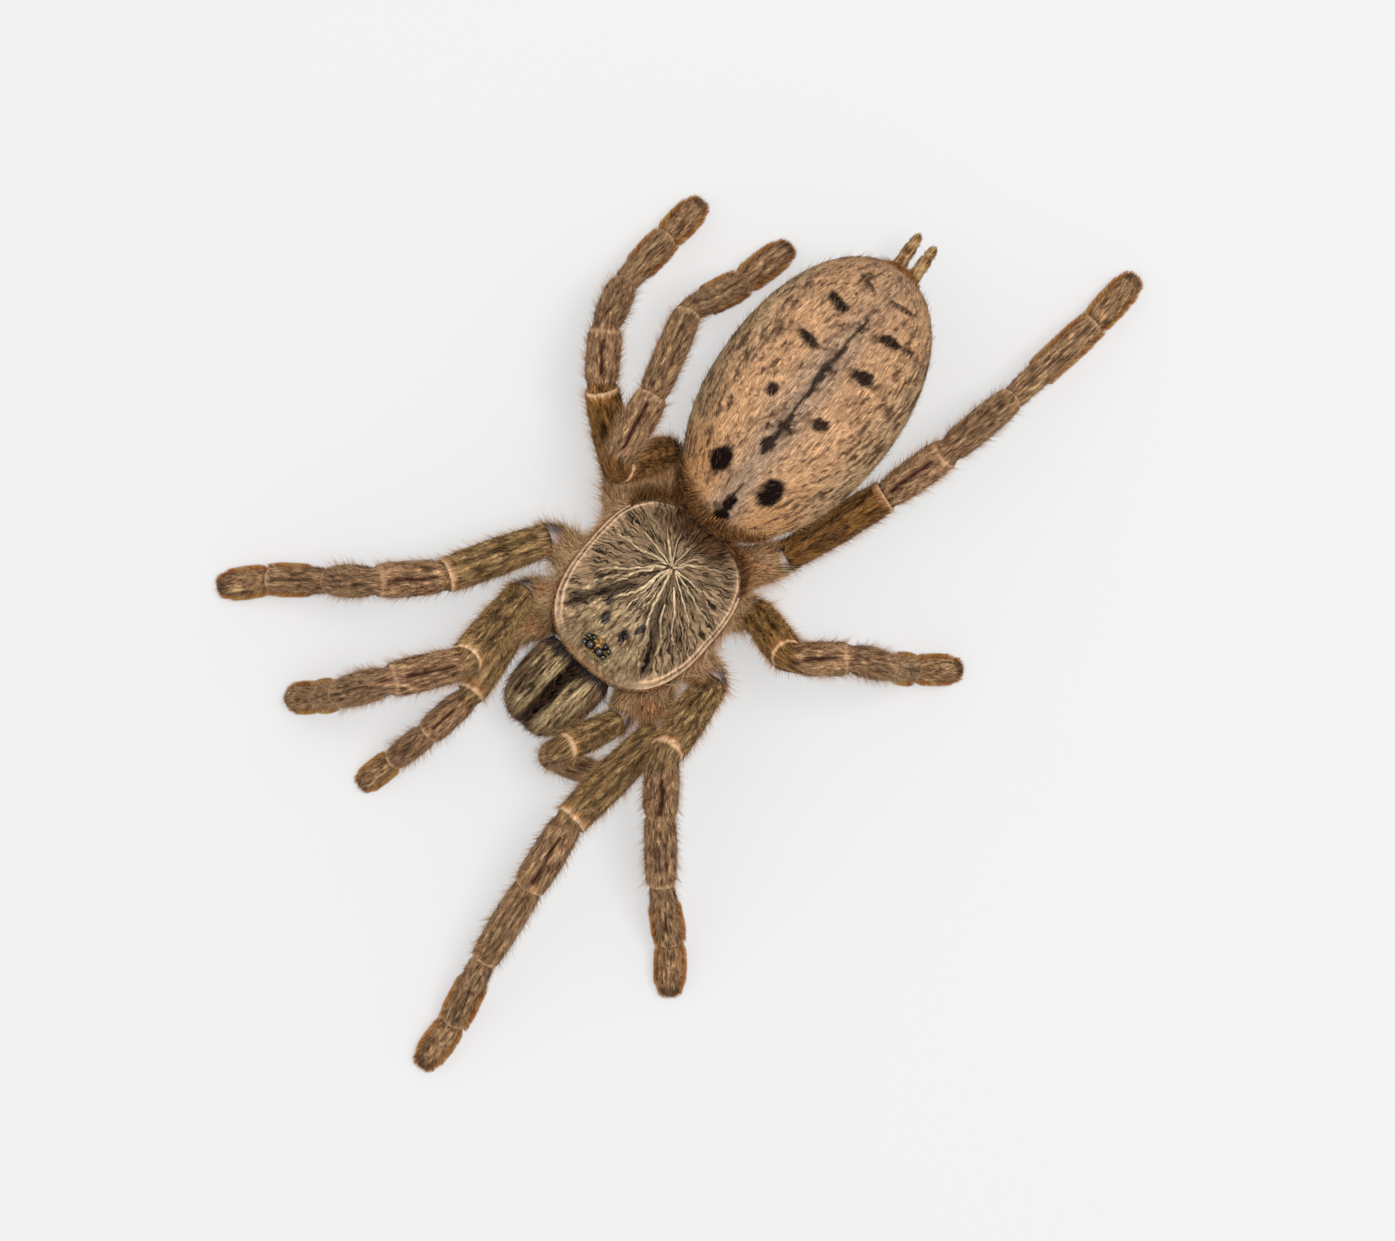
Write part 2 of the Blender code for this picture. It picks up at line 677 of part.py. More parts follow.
def centre_on_floor():
    """Moves every mesh so that the origin is the middle of the model's box, at floor level."""
    things = [thing for thing in bpy.context.scene.objects if thing.type == "MESH"]
    xs = [vertex.co.x for thing in things for vertex in thing.data.vertices]
    ys = [vertex.co.y for thing in things for vertex in thing.data.vertices]
    shift = Vector((-(min(xs) + max(xs)) / 2, -(min(ys) + max(ys)) / 2, 0))
    for thing in things:
        for vertex in thing.data.vertices:
            vertex.co += shift


def main():
    for thing in list(bpy.data.objects):
        bpy.data.objects.remove(thing)
    add_carapace()
    add_ocular_mound()
    add_sternum()
    add_abdomen()
    for side, side_name in ((LEFT, "left"), (RIGHT, "right")):
        add_coxae(side, side_name)
        add_chelicera(side, side_name)
        add_fang(side, side_name)
        add_spinneret(side, side_name)
    for name in LIMBS:
        add_limb(name)
    centre_on_floor()


main()
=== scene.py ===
import math

import bpy
import numpy as np
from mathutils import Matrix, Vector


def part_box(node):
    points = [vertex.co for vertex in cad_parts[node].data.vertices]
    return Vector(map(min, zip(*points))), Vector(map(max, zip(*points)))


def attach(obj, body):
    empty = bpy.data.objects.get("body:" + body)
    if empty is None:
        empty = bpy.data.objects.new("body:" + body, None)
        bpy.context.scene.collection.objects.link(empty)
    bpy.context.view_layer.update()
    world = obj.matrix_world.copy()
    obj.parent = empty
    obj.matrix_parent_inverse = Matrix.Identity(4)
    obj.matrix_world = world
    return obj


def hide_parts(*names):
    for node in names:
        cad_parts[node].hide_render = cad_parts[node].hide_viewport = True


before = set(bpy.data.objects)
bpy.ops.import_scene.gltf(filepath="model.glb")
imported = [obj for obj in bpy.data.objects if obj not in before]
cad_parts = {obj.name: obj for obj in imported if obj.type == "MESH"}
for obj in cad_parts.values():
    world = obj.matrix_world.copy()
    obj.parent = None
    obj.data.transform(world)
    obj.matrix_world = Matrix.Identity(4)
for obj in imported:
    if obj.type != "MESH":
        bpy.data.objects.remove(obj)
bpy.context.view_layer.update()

# The looks of a baboon tarantula in its photographed pose. Shapes are worked out in millimetres about the
# fovea, the dimple in the carapace, with the head towards -Y and the animal's left at +X.

mm = 0.001
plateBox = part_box("sternum")  # starts 12 mm ahead of the fovea and is centred on it
foveaPlace = np.array([(plateBox[0][0] + plateBox[1][0]) / 2 / mm, plateBox[0][1] / mm + 12.0, 0.0])
floorClear = 0.03
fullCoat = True


def ink(red, green, blue):
    # an sRGB colour, 0 to 255, as linear light
    value = np.array([red, green, blue], float) / 255
    return np.where(value <= 0.04045, value / 12.92, ((value + 0.055) / 1.055) ** 2.4)


def unit(v):
    return v / np.maximum(np.linalg.norm(v, axis=-1, keepdims=True), 1e-9)


def fullTurn(count):
    # angles spread evenly round a circle, from 0
    return 2 * math.pi * np.arange(count) / count


def blendTo(a, b, share):
    # a where share is 0, b where it is 1
    return a + (b - a) * np.asarray(share, float)[..., None]


def ease(value, low, high):
    # rises smoothly from 0 at low to 1 at high
    share = np.clip((value - low) / (high - low), 0, 1)
    return share * share * (3 - 2 * share)


def cloud(points, size, seed):
    # value noise between 0 and 1: random values on a lattice of that size, smoothly blended between corners
    place = points / size
    base = np.floor(place).astype(np.int64)
    part = place - base
    part = part * part * (3 - 2 * part)
    total = np.zeros(points.shape[:-1])
    for corner in range(8):
        step = np.array([corner & 1, corner >> 1 & 1, corner >> 2 & 1])
        cell = base + step
        key = cell[..., 0] * 73856093 ^ cell[..., 1] * 19349663 ^ cell[..., 2] * 83492791 ^ seed * 40503
        key = (key ^ key >> 13) * 1274126177 & 0xFFFFFFFF
        key = (key ^ key >> 15) * 73244475 & 0xFFFFFFFF
        value = (key >> 8 & 0xFFFF) / 65535
        total += value * np.prod(np.where(step, part, 1 - part), axis=-1)
    return total


def streaks(points, lie, size, reach, seed, steps=7):
    # noise drawn out along a direction: the mean of the noise at places along it
    total = np.zeros(points.shape[:-1])
    for k in np.linspace(-0.5, 0.5, steps):
        total += cloud(points + lie * (k * reach), size, seed)
    spread = total / steps - 0.5
    return np.clip(0.5 + spread * math.sqrt(steps) * 0.75, 0, 1)


def toWorld(points):
    return (points + foveaPlace) * mm


def fillMesh(name, points, faces, tint, uv):
    # puts points in millimetres, faces of 3 or 4 corners, colours and the corners' UVs into a mesh object
    mesh = bpy.data.meshes.new(name)
    mesh.vertices.add(len(points))
    mesh.vertices.foreach_set("co", toWorld(points).astype(np.float32).ravel())
    sizes = np.concatenate([np.full(len(group), group.shape[1]) for group in faces])
    corners = np.concatenate([group.ravel() for group in faces])
    mesh.loops.add(len(corners))
    mesh.polygons.add(len(sizes))
    mesh.polygons.foreach_set("loop_start", np.concatenate([[0], np.cumsum(sizes)[:-1]]).astype(np.int32))
    mesh.polygons.foreach_set("vertices", corners.astype(np.int32))
    mesh.update(calc_edges=True)
    mesh.polygons.foreach_set("use_smooth", np.ones(len(sizes), bool))
    mesh.uv_layers.new(name="OFBake").data.foreach_set("uv", uv.astype(np.float32).ravel())
    colours = np.ones((len(points), 4), np.float32)
    colours[:, :tint.shape[1]] = np.clip(tint, 0, 1)
    mesh.color_attributes.new("Tint", "FLOAT_COLOR", "POINT").data.foreach_set("color", colours.ravel())
    mesh.validate()
    piece = bpy.data.objects.new(name, mesh)
    bpy.context.scene.collection.objects.link(piece)
    return piece


def dress(piece, finish, slot, *nodes):
    # gives a piece its finish and its body, and hides the nodes that it stands for
    piece.data.materials.append(finish)
    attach(piece, "root")
    if nodes:
        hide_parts(*nodes)


def outwardSign(grid):
    # 1 when the cross product of a grid's across and along directions points outwards, -1 when inwards
    along = grid[1:] - grid[:-1]
    across = np.roll(grid, -1, axis=1)[:-1] - grid[:-1]
    faces = np.cross(across, along)
    return 1 if np.sum(faces * (grid[:-1] - grid.reshape(-1, 3).mean(axis=0))) > 0 else -1


def addSkin(name, grid, tint, finish, slot, *nodes):
    # a closed surface from rings of points: quads from ring to ring, and at each end a fan of triangles to
    # the middle of the last ring
    rows, columns = grid.shape[:2]
    count = rows * columns
    i, j = (part.ravel() for part in np.meshgrid(np.arange(rows - 1), np.arange(columns), indexing="ij"))
    here, right = i * columns + j, i * columns + (j + 1) % columns
    faces = [np.stack([here, right, right + columns, here + columns], -1)]
    u = np.stack([i, i, i + 1, i + 1], -1) / (rows - 1)
    v = np.stack([j, j + 1, j + 1, j], -1) / columns
    uv = [np.stack([u, v], -1).reshape(-1, 2)]
    points, colours = [grid.reshape(-1, 3)], [tint.reshape(count, -1)]
    ring = np.arange(columns)
    for row, order, end in ((0, (1, 0), 0.0), (rows - 1, (0, 1), 1.0)):
        points.append(grid[row].mean(axis=0)[None])
        colours.append(tint[row].mean(axis=0)[None])
        rim = np.stack([row * columns + ring, row * columns + (ring + 1) % columns], -1)[:, order]
        faces.append(np.concatenate([rim, np.full((columns, 1), count)], axis=1))
        sides = np.stack([ring, ring + 1, ring + 0.5], -1) / columns
        uv.append(np.stack([np.full((columns, 3), end), sides], -1).reshape(-1, 2))
        count += 1
    if outwardSign(grid) < 0:
        faces = [group[:, ::-1] for group in faces]
        uv = [part.reshape(-1, group.shape[1], 2)[:, ::-1].reshape(-1, 2) for part, group in zip(uv, faces)]
    piece = fillMesh(name, np.concatenate(points), faces, np.concatenate(colours), np.concatenate(uv))
    dress(piece, finish, slot, *nodes)


def gridNormals(grid):
    # outward normals of a grid closed across: the cross product of its two directions
    along = np.gradient(grid, axis=0)
    across = np.roll(grid, -1, axis=1) - np.roll(grid, 1, axis=1)
    return unit(np.cross(across, along)) * outwardSign(grid)


def squareTo(way):
    # the level way across a direction, and the way up that is square to both
    across = unit(np.cross(way, np.array([0.0, 0.0, 1.0])))
    return across, np.cross(across, way)


def tube(centre, across, upper, radius, around):
    # circles about the points of a line: cosine times the way across plus sine times the way up
    angle = fullTurn(around)
    swing = across[:, None] * np.cos(angle)[None, :, None] + upper[:, None] * np.sin(angle)[None, :, None]
    return centre[:, None] + radius[:, None, None] * swing


def readGrid(field, i, j, s, t):
    # the value of a grid at spots inside its cells, blended from the four corners
    right = (j + 1) % field.shape[1]
    if field.ndim == 3:
        s, t = s[:, None], t[:, None]
    low = field[i, j] * (1 - t) + field[i, right] * t
    high = field[i + 1, j] * (1 - t) + field[i + 1, right] * t
    return low * (1 - s) + high * s


def sprinkle(grid, normals, count, seed, weight=None):
    # random spots spread evenly over a grid's area, as cells and the places inside them, with the points and
    # normals there
    draw = np.random.default_rng(seed)
    following = np.roll(grid, -1, axis=1)
    sideA = grid[1:] - grid[:-1]
    sideB = following[:-1] - grid[:-1]
    sideC = following[1:] - grid[1:]
    area = np.linalg.norm(np.cross(sideA, (sideB + sideC) / 2), axis=-1)
    if weight is not None:
        area = area * weight[:-1]
    total = np.cumsum(area.ravel())
    cell = np.minimum(np.searchsorted(total, draw.random(count) * total[-1]), area.size - 1)
    i, j = np.divmod(cell, grid.shape[1])
    spots = i, j, draw.random(count), draw.random(count)
    return spots, readGrid(grid, *spots), unit(readGrid(normals, *spots)), draw


def spotUv(grid, i, j, s, t):
    return np.stack([(i + s) / (grid.shape[0] - 1), (j + t) / grid.shape[1]], -1)


def swerve(lie, up, turn):
    # directions turned aside on the skin, by a small angle for each
    return lie + np.cross(up, lie) * turn[:, None]


def tuftSizes(draw, count, spec, scale=1, more=0):
    # random lengths and widths about a coat's own, and angles that its tufts stand off by
    length = spec["length"] * (spec["shortest"] + 0.8 * draw.random(count)) * scale
    width = spec["width"] * (0.7 + 0.6 * draw.random(count))
    return length, width, np.radians(spec["lift"] + 6 * draw.standard_normal(count) + more)


def uneven(draw, count, depth, low, high):
    # a random brightness about 1 for each tuft
    return np.clip(np.exp(depth * draw.standard_normal(count)), low, high)[:, None]


# Each tuft is a closed spike of three sides: a base sunk in the skin, a tip, and a ring between if it bends.
# Tuft colours are darkened at the root and lightened at the tip: painted shade deep in the coat and painted
# light on its top.
tuftShape = {"sunk": 0.05, "waist": 0.8, "uvSize": 0.003, "rootPaintedShade": 0.38, "tipPaintedLight": 1.44}


def growTufts(root, normal, lie, length, width, lift, tint, uv, bend=None, keep=slice(None)):
    # arrays with one row for each tuft, or one number for all, of which those in keep grow; lift and bend
    # are angles in radians, and a tuft without a bend is straight
    length, width, lift = (np.broadcast_to(part, len(uv))[keep, None] for part in (length, width, lift))
    root, normal, lie, tint, uv = (part[keep] for part in (root, normal, lie, tint, uv))
    lie = unit(lie - normal * np.sum(lie * normal, axis=-1, keepdims=True))
    side = np.cross(normal, lie)
    first = lie * np.cos(lift) + normal * np.sin(lift)
    up = unit(np.cross(first, side)) * -1
    # a ring's corners: its middle plus half its width times (side * cosine + up * sine) of three angles
    spokes = [side * math.cos(angle) + up * math.sin(angle) for angle in np.radians([90, 210, 330])]
    rings = [root - normal * tuftShape["sunk"] + width / 2 * spoke for spoke in spokes]
    if bend is None:
        tip = root + first * length
        faces, sides = [(0, 2, 1), (0, 1, 3), (1, 2, 3), (2, 0, 3)], []
        shade, place = [], []
    else:
        knee, waist = root + first * length * 0.5, width / 2 * tuftShape["waist"]
        rings += [knee + waist * spoke for spoke in spokes]
        bend = bend[keep, None]
        second = lie * np.cos(lift - bend) + normal * np.sin(lift - bend)
        tip = knee + second * length * 0.5
        faces = [(0, 2, 1), (3, 5, 6), (5, 4, 6), (4, 3, 6)]
        sides = [(0, 1, 4, 3), (1, 2, 5, 4), (2, 0, 3, 5)]
        shade, place = [1.0] * 3, [(-1, 0), (1, 0), (0, 0)]
    # painted shade at the root and painted light at the tip of each tuft
    shade = np.array([tuftShape["rootPaintedShade"]] * 3 + shade + [tuftShape["tipPaintedLight"]])
    place = np.array([(-1, -1), (1, -1), (0, -1)] + place + [(0, 1)])
    places = uv[:, None, :] + place[None] * tuftShape["uvSize"] / 2
    return np.stack([*rings, tip], axis=1), faces, sides, tint[:, None, :] * shade[None, :, None], places


def addCoat(name, batches, slot):
    # joins batches of tufts, as growTufts gives them, into one mesh that stays clear of the floor
    points, colours, groups, uvs = [], [], [], []
    start = 0
    for batch, faces, sides, tint, places in batches:
        count, each = batch.shape[:2]
        batch = batch.reshape(-1, 3).copy()
        batch[:, 2] = np.maximum(batch[:, 2], floorClear)
        points.append(batch)
        colours.append(tint.reshape(-1, 3))
        first = start + np.arange(count)[:, None] * each
        for corners in (faces, sides):
            if corners:
                pattern = np.array(corners)
                groups.append((first[:, :, None] + pattern[None]).reshape(-1, pattern.shape[1]))
                uvs.append(places[:, pattern.ravel()].reshape(-1, 2))
        start += count * each
    coat = fillMesh(name, np.concatenate(points), groups, np.concatenate(colours), np.concatenate(uvs))
    dress(coat, coatFinish, slot)
    print("coat", name, sum(len(group) * (group.shape[1] - 2) for group in groups), "triangles")


class Wire:
    # a shader socket that can be added, subtracted and multiplied
    def __init__(self, tree, socket):
        self.tree = tree
        self.socket = socket

    def make(self, kind, settings, sockets, output=0):
        node = self.tree.nodes.new(kind)
        for name, value in settings.items():
            setattr(node, name, value)
        for name, value in sockets.items():
            if isinstance(value, Wire):
                self.tree.links.new(value.socket, node.inputs[name])
            else:
                node.inputs[name].default_value = value
        return Wire(self.tree, node.outputs[output])

    def other(self, output):
        return Wire(self.tree, self.socket.node.outputs[output])

    def vector(self, kind, *values):
        return self.make("ShaderNodeVectorMath", {"operation": kind}, dict(enumerate(values)))

    def sum(self, kind, *values):
        return self.make("ShaderNodeMath", {"operation": kind}, dict(enumerate(values)))

    def __add__(self, other):
        return self.sum("ADD", self, other)

    def __radd__(self, other):
        return self.sum("ADD", other, self)

    def __sub__(self, other):
        return self.sum("SUBTRACT", self, other)

    def __rsub__(self, other):
        return self.sum("SUBTRACT", other, self)

    def __mul__(self, other):
        return self.sum("MULTIPLY", self, other)

    def __rmul__(self, other):
        return self.sum("MULTIPLY", other, self)


def newFinish(name, values):
    # a material whose Principled shader has its constant sockets set, that shader and a first wire
    finish = bpy.data.materials.new(name)
    finish.use_nodes = True
    shader = finish.node_tree.nodes["Principled BSDF"]
    for socket, value in values.items():
        shader.inputs[socket].default_value = value
    return finish, shader, Wire(finish.node_tree, None)


def plugIn(wire, shader, socket):
    wire.tree.links.new(wire.socket, shader.inputs[socket])


def noise(start, place, scale, detail, output="Fac", roughness=0.5):
    sockets = {"Vector": place, "Scale": scale, "Detail": detail, "Roughness": roughness}
    return start.make("ShaderNodeTexNoise", {}, sockets, output)


def shadeTint(start, tint, level):
    # the tint multiplied by a grey level
    grey = start.make("ShaderNodeCombineColor", {}, {"Red": level, "Green": level, "Blue": level})
    settings = {"data_type": "RGBA", "blend_type": "MULTIPLY"}
    return start.make("ShaderNodeMix", settings, {0: 1.0, 6: tint, 7: grey}, 2)


def furFinish(name, spec):
    # colour from the Tint attribute, broken up by fine and coarse noise
    finish, shader, start = newFinish(name, spec["sockets"])
    tint = start.make("ShaderNodeAttribute", {"attribute_name": "Tint"}, {})
    place = start.make("ShaderNodeTexCoord", {}, {}, "Object")
    grain, coarse = noise(start, place, spec["grain"], 3.0), noise(start, place, spec["coarse"], 2.0)
    level = grain * spec["depth"] + coarse * spec["depth"] + (1 - spec["depth"])
    plugIn(shadeTint(start, tint, level), shader, "Base Color")
    return finish


def linedFinish(name, spec):
    # short flat fur: the Tint attribute's colour with fine lines that run along the piece, or out from the
    # fovea, and that lift the surface too; the attribute's alpha is how strong the lines are
    finish, shader, start = newFinish(name, spec["sockets"])
    tint = start.make("ShaderNodeAttribute", {"attribute_name": "Tint"}, {})
    place = start.make("ShaderNodeTexCoord", {}, {}, "Object")
    swirl = noise(start, place, spec["swayScale"], 2.0, "Color")
    sway = start.vector("MULTIPLY", start.vector("SUBTRACT", swirl, (0.5, 0.5, 0.5)), (spec["sway"],) * 3)
    if spec["radial"]:
        away = start.vector("SUBTRACT", place, tuple(foveaPlace * mm))
        flat = start.vector("MULTIPLY", start.vector("ADD", away, sway), (1.0, 1.0, 0.0))
        distance = start.vector("LENGTH", flat).other(1)
        bearing = start.vector("NORMALIZE", flat)
        rise = start.make("ShaderNodeCombineXYZ", {}, {"Z": distance * spec["along"]})
        spot = start.vector("ADD", start.vector("MULTIPLY", bearing, (spec["around"],) * 3), rise)
        inner = start.vector("ADD", start.vector("MULTIPLY", bearing, (spec["inner"],) * 3), rise)
    else:
        unwrap = start.make("ShaderNodeUVMap", {"uv_map": "OFBake"}, {})
        u = start.make("ShaderNodeSeparateXYZ", {}, {0: unwrap})
        turn = u.other(1) * (2 * math.pi)
        x = start.sum("COSINE", turn) * spec["around"]
        y = start.sum("SINE", turn) * spec["around"]
        spot = start.make("ShaderNodeCombineXYZ", {}, {"X": x, "Y": y, "Z": u * spec["along"]})
        spot = start.vector("ADD", spot, sway)
    lines = noise(start, spot, 1.0, 2.0, roughness=0.6)
    if spec["radial"]:
        near = noise(start, inner, 1.0, 2.0, roughness=0.6)
        inside, outside = spec["blend"]
        outerShare = start.make("ShaderNodeMapRange", {}, {0: distance, 1: inside, 2: outside})
        lines = near + (lines - near) * outerShare
    sharp = (lines - 0.5) * spec["gain"] + 0.5
    sharp.socket.node.use_clamp = True
    low, high = spec["levels"]
    level = (sharp * (high - low) + (low - 1)) * tint.other("Alpha") + 1
    plugIn(shadeTint(start, tint, level), shader, "Base Color")
    relief = start.make("ShaderNodeBump", {}, {"Height": lines, "Distance": spec["relief"], "Strength": 0.8})
    plugIn(relief, shader, "Normal")
    return finish


def glossFinish(name, colour, roughness, coatWeight):
    # a polished dark surface, slightly clouded
    values = {"Roughness": roughness, "Coat Weight": coatWeight, "Coat Roughness": 0.02, "Coat IOR": 2.2,
              "Specular IOR Level": 0.0}
    finish, shader, start = newFinish(name, values)
    haze = noise(start, start.make("ShaderNodeTexCoord", {}, {}, "Object"), 2500.0, 2.0)
    dark, light = (*(colour * 0.6), 1), (*(colour * 1.3), 1)
    mixed = start.make("ShaderNodeMix", {"data_type": "RGBA"}, {0: haze, 6: dark, 7: light}, 2)
    plugIn(mixed, shader, "Base Color")
    return finish


coatFinish = furFinish("spiderCoat", {
    "sockets": {"Roughness": 0.6, "Specular IOR Level": 0.07},
    "grain": 2500.0, "coarse": 600.0, "depth": 0.2,
})
# How many cells of noise lie round and along each kind of skin, and how dark and light the lines are.
linedSpecs = {
    "limbSkin": {"around": 12.0, "along": 55.0, "levels": (0.3, 1.6), "relief": 0.00025},
    "abdomenSkin": {"around": 70.0, "along": 36.0, "levels": (0.55, 1.4), "relief": 0.00015},
    "cheliceraSkin": {"around": 15.0, "along": 6.0, "levels": (0.25, 2.0), "relief": 0.0002},
    "bodySkin": {"around": 30.0, "along": 10.0, "levels": (0.5, 1.5), "relief": 0.00015},
    "carapaceShell": {"around": 36.0, "inner": 15.0, "blend": (0.0025, 0.005), "along": 700.0,
                      "levels": (0.1, 2.2), "relief": 0.00022, "radial": True, "sway": 0.001, "gain": 4.8},
}
usualSpec = {"sockets": {"Roughness": 0.58, "Specular IOR Level": 0.08}, "radial": False,
             "swayScale": 1200.0, "sway": 1.2, "gain": 3.6}
linedFinishes = {name: linedFinish(name, {**usualSpec, **spec}) for name, spec in linedSpecs.items()}
skinFinish = linedFinishes["bodySkin"]
eyeFinish = glossFinish("eyeGloss", ink(8, 5, 4), 0.25, 0.7)
fangFinish = glossFinish("fangHorn", ink(38, 14, 9), 0.18, 0.8)
print("finishes ready")


# Limbs: lengths, pose and girth are the solids' own, and the skin lies inside them by the coat's depth.
segmentNames = ("femur", "patella", "tibia", "metatarsus", "tarsus")
palpNames = ("femur", "patella", "tibia", "tarsus")
limbLengths = {
    "leg1": (12.4, 7.4, 8.6, 7.8, 5.5),
    "leg2": (11.0, 6.8, 7.4, 7.3, 5.6),
    "leg3": (9.3, 5.6, 6.0, 7.3, 5.5),
    "leg4": (11.2, 7.6, 9.0, 11.2, 6.6),
    "palp": (7.2, 5.5, 5.9, 5.2),
}
limbGirth = {"leg1": 1.0, "leg2": 1.0, "leg3": 0.97, "leg4": 0.97, "palp": 0.84}
segmentRadii = {  # at the root, a sixth along, in the middle, five sixths along and at the end
    "coxa": (1.9, 1.95, 1.95, 1.8, 1.6),
    "femur": (1.6, 1.75, 1.9, 1.85, 1.7),
    "patella": (1.6, 1.75, 1.8, 1.8, 1.6),
    "tibia": (1.5, 1.62, 1.66, 1.6, 1.42),
    "metatarsus": (1.3, 1.4, 1.45, 1.5, 1.3),
    "tarsus": (1.2, 1.38, 1.45, 1.4, 1.15),
}
limbPose = {
    "leg1_left": {"root": (3.2, -8.0, 5.6), "hip": (8.9, -12.1, 7.2),
                  "heading": (-4, 9, 9, 14, 5), "pitch": (16, -18, -18, -29)},
    "leg1_right": {"root": (-3.2, -8.0, 5.6), "hip": (-8.8, -10.8, 7.0),
                   "heading": (-2, 36, 35, 40, 45), "pitch": (49, 20, -55, -72)},
    "leg2_left": {"root": (3.2, -5.0, 5.6), "hip": (9.8, -5.6, 6.9),
                  "heading": (6, 38, 41, 49, 40), "pitch": (42, -39, -24, -40)},
    "leg2_right": {"root": (-3.2, -5.0, 5.6), "hip": (-10.2, -5.2, 6.9),
                   "heading": (29, 45, 51, 51, 42), "pitch": (18, 21, -55, -35)},
    "leg3_left": {"root": (3.2, -2.0, 5.6), "hip": (8.6, 1.8, 6.9),
                  "heading": (76, 131, 117, 124, 130), "pitch": (56, 0, -53, -70)},
    "leg3_right": {"root": (-3.2, -2.0, 5.6), "hip": (-8.8, 2.9, 6.9),
                   "heading": (128, 144, 160, 180, 182), "pitch": (21, 6, -44, -34)},
    "leg4_left": {"root": (2.9, 0.9, 5.6), "hip": (7.3, 7.3, 6.4),
                  "heading": (162, 166, 170, 173, 178), "pitch": (3, 27, -31, -17)},
    "leg4_right": {"root": (-2.9, 0.9, 5.6), "hip": (-7.0, 8.0, 6.9),
                   "heading": (29, 167, 162, 196, 191), "pitch": (61, -8, -20, -59)},
    "palp_left": {"root": (3.8, -9.4, 5.2), "hip": (5.6, -13.9, 6.6),
                  "heading": (-24, -5, 110, 160), "pitch": (32, -76, -27)},
    "palp_right": {"root": (-4.7, -9.4, 5.2), "hip": (-7.2, -14.6, 6.6),
                   "heading": (-7, 8, 13, 12), "pitch": (21, -20, -45)},
}
limbSkin = {"coatDepth": 0.22, "around": 46, "perSegment": 38, "perJoint": 7, "perTip": 8, "lip": 0.1,
            "jointDip": 0.1, "jointTrim": (0.12, 0.8), "crowding": 0.07, "footSink": 0.12, "palpCoxa": 0.7,
            "stations": (0, 1 / 6, 0.5, 5 / 6, 1)}


def pointing(side, heading, pitch):
    # unit vector of a heading (0 ahead, 90 outward) and a pitch, in degrees
    turn, lift = math.radians(heading), math.radians(pitch)
    level = math.cos(lift)
    return np.array([side * math.sin(turn) * level, -math.cos(turn) * level, math.sin(lift)])


def limbJoints(name):
    # the ends of the coxa and of each free segment; the last pitch puts the foot on the floor
    pose, kind = limbPose[name], name.split("_")[0]
    side = 1 if name.endswith("left") else -1
    joints = [np.array(pose["root"]), np.array(pose["hip"])]
    for length, heading, pitch in zip(limbLengths[kind], pose["heading"], pose["pitch"]):
        joints.append(joints[-1] + pointing(side, heading, pitch) * length)
    tip = segmentRadii["tarsus"][-1] * limbGirth[kind]
    reach = limbLengths[kind][-1] - tip
    pitch = -math.degrees(math.asin((joints[-1][2] - tip + limbSkin["footSink"]) / reach))
    joints.append(joints[-1] + pointing(side, pose["heading"][-1], pitch) * reach)
    return joints


def backOf(direction):
    # the way up across a segment: the vertical with its part along the segment taken away
    flat = np.array([direction[0], direction[1], 0.0])
    run = np.linalg.norm(flat)
    return unit(np.array([*(-direction[2] * flat[:2] / run), run]))


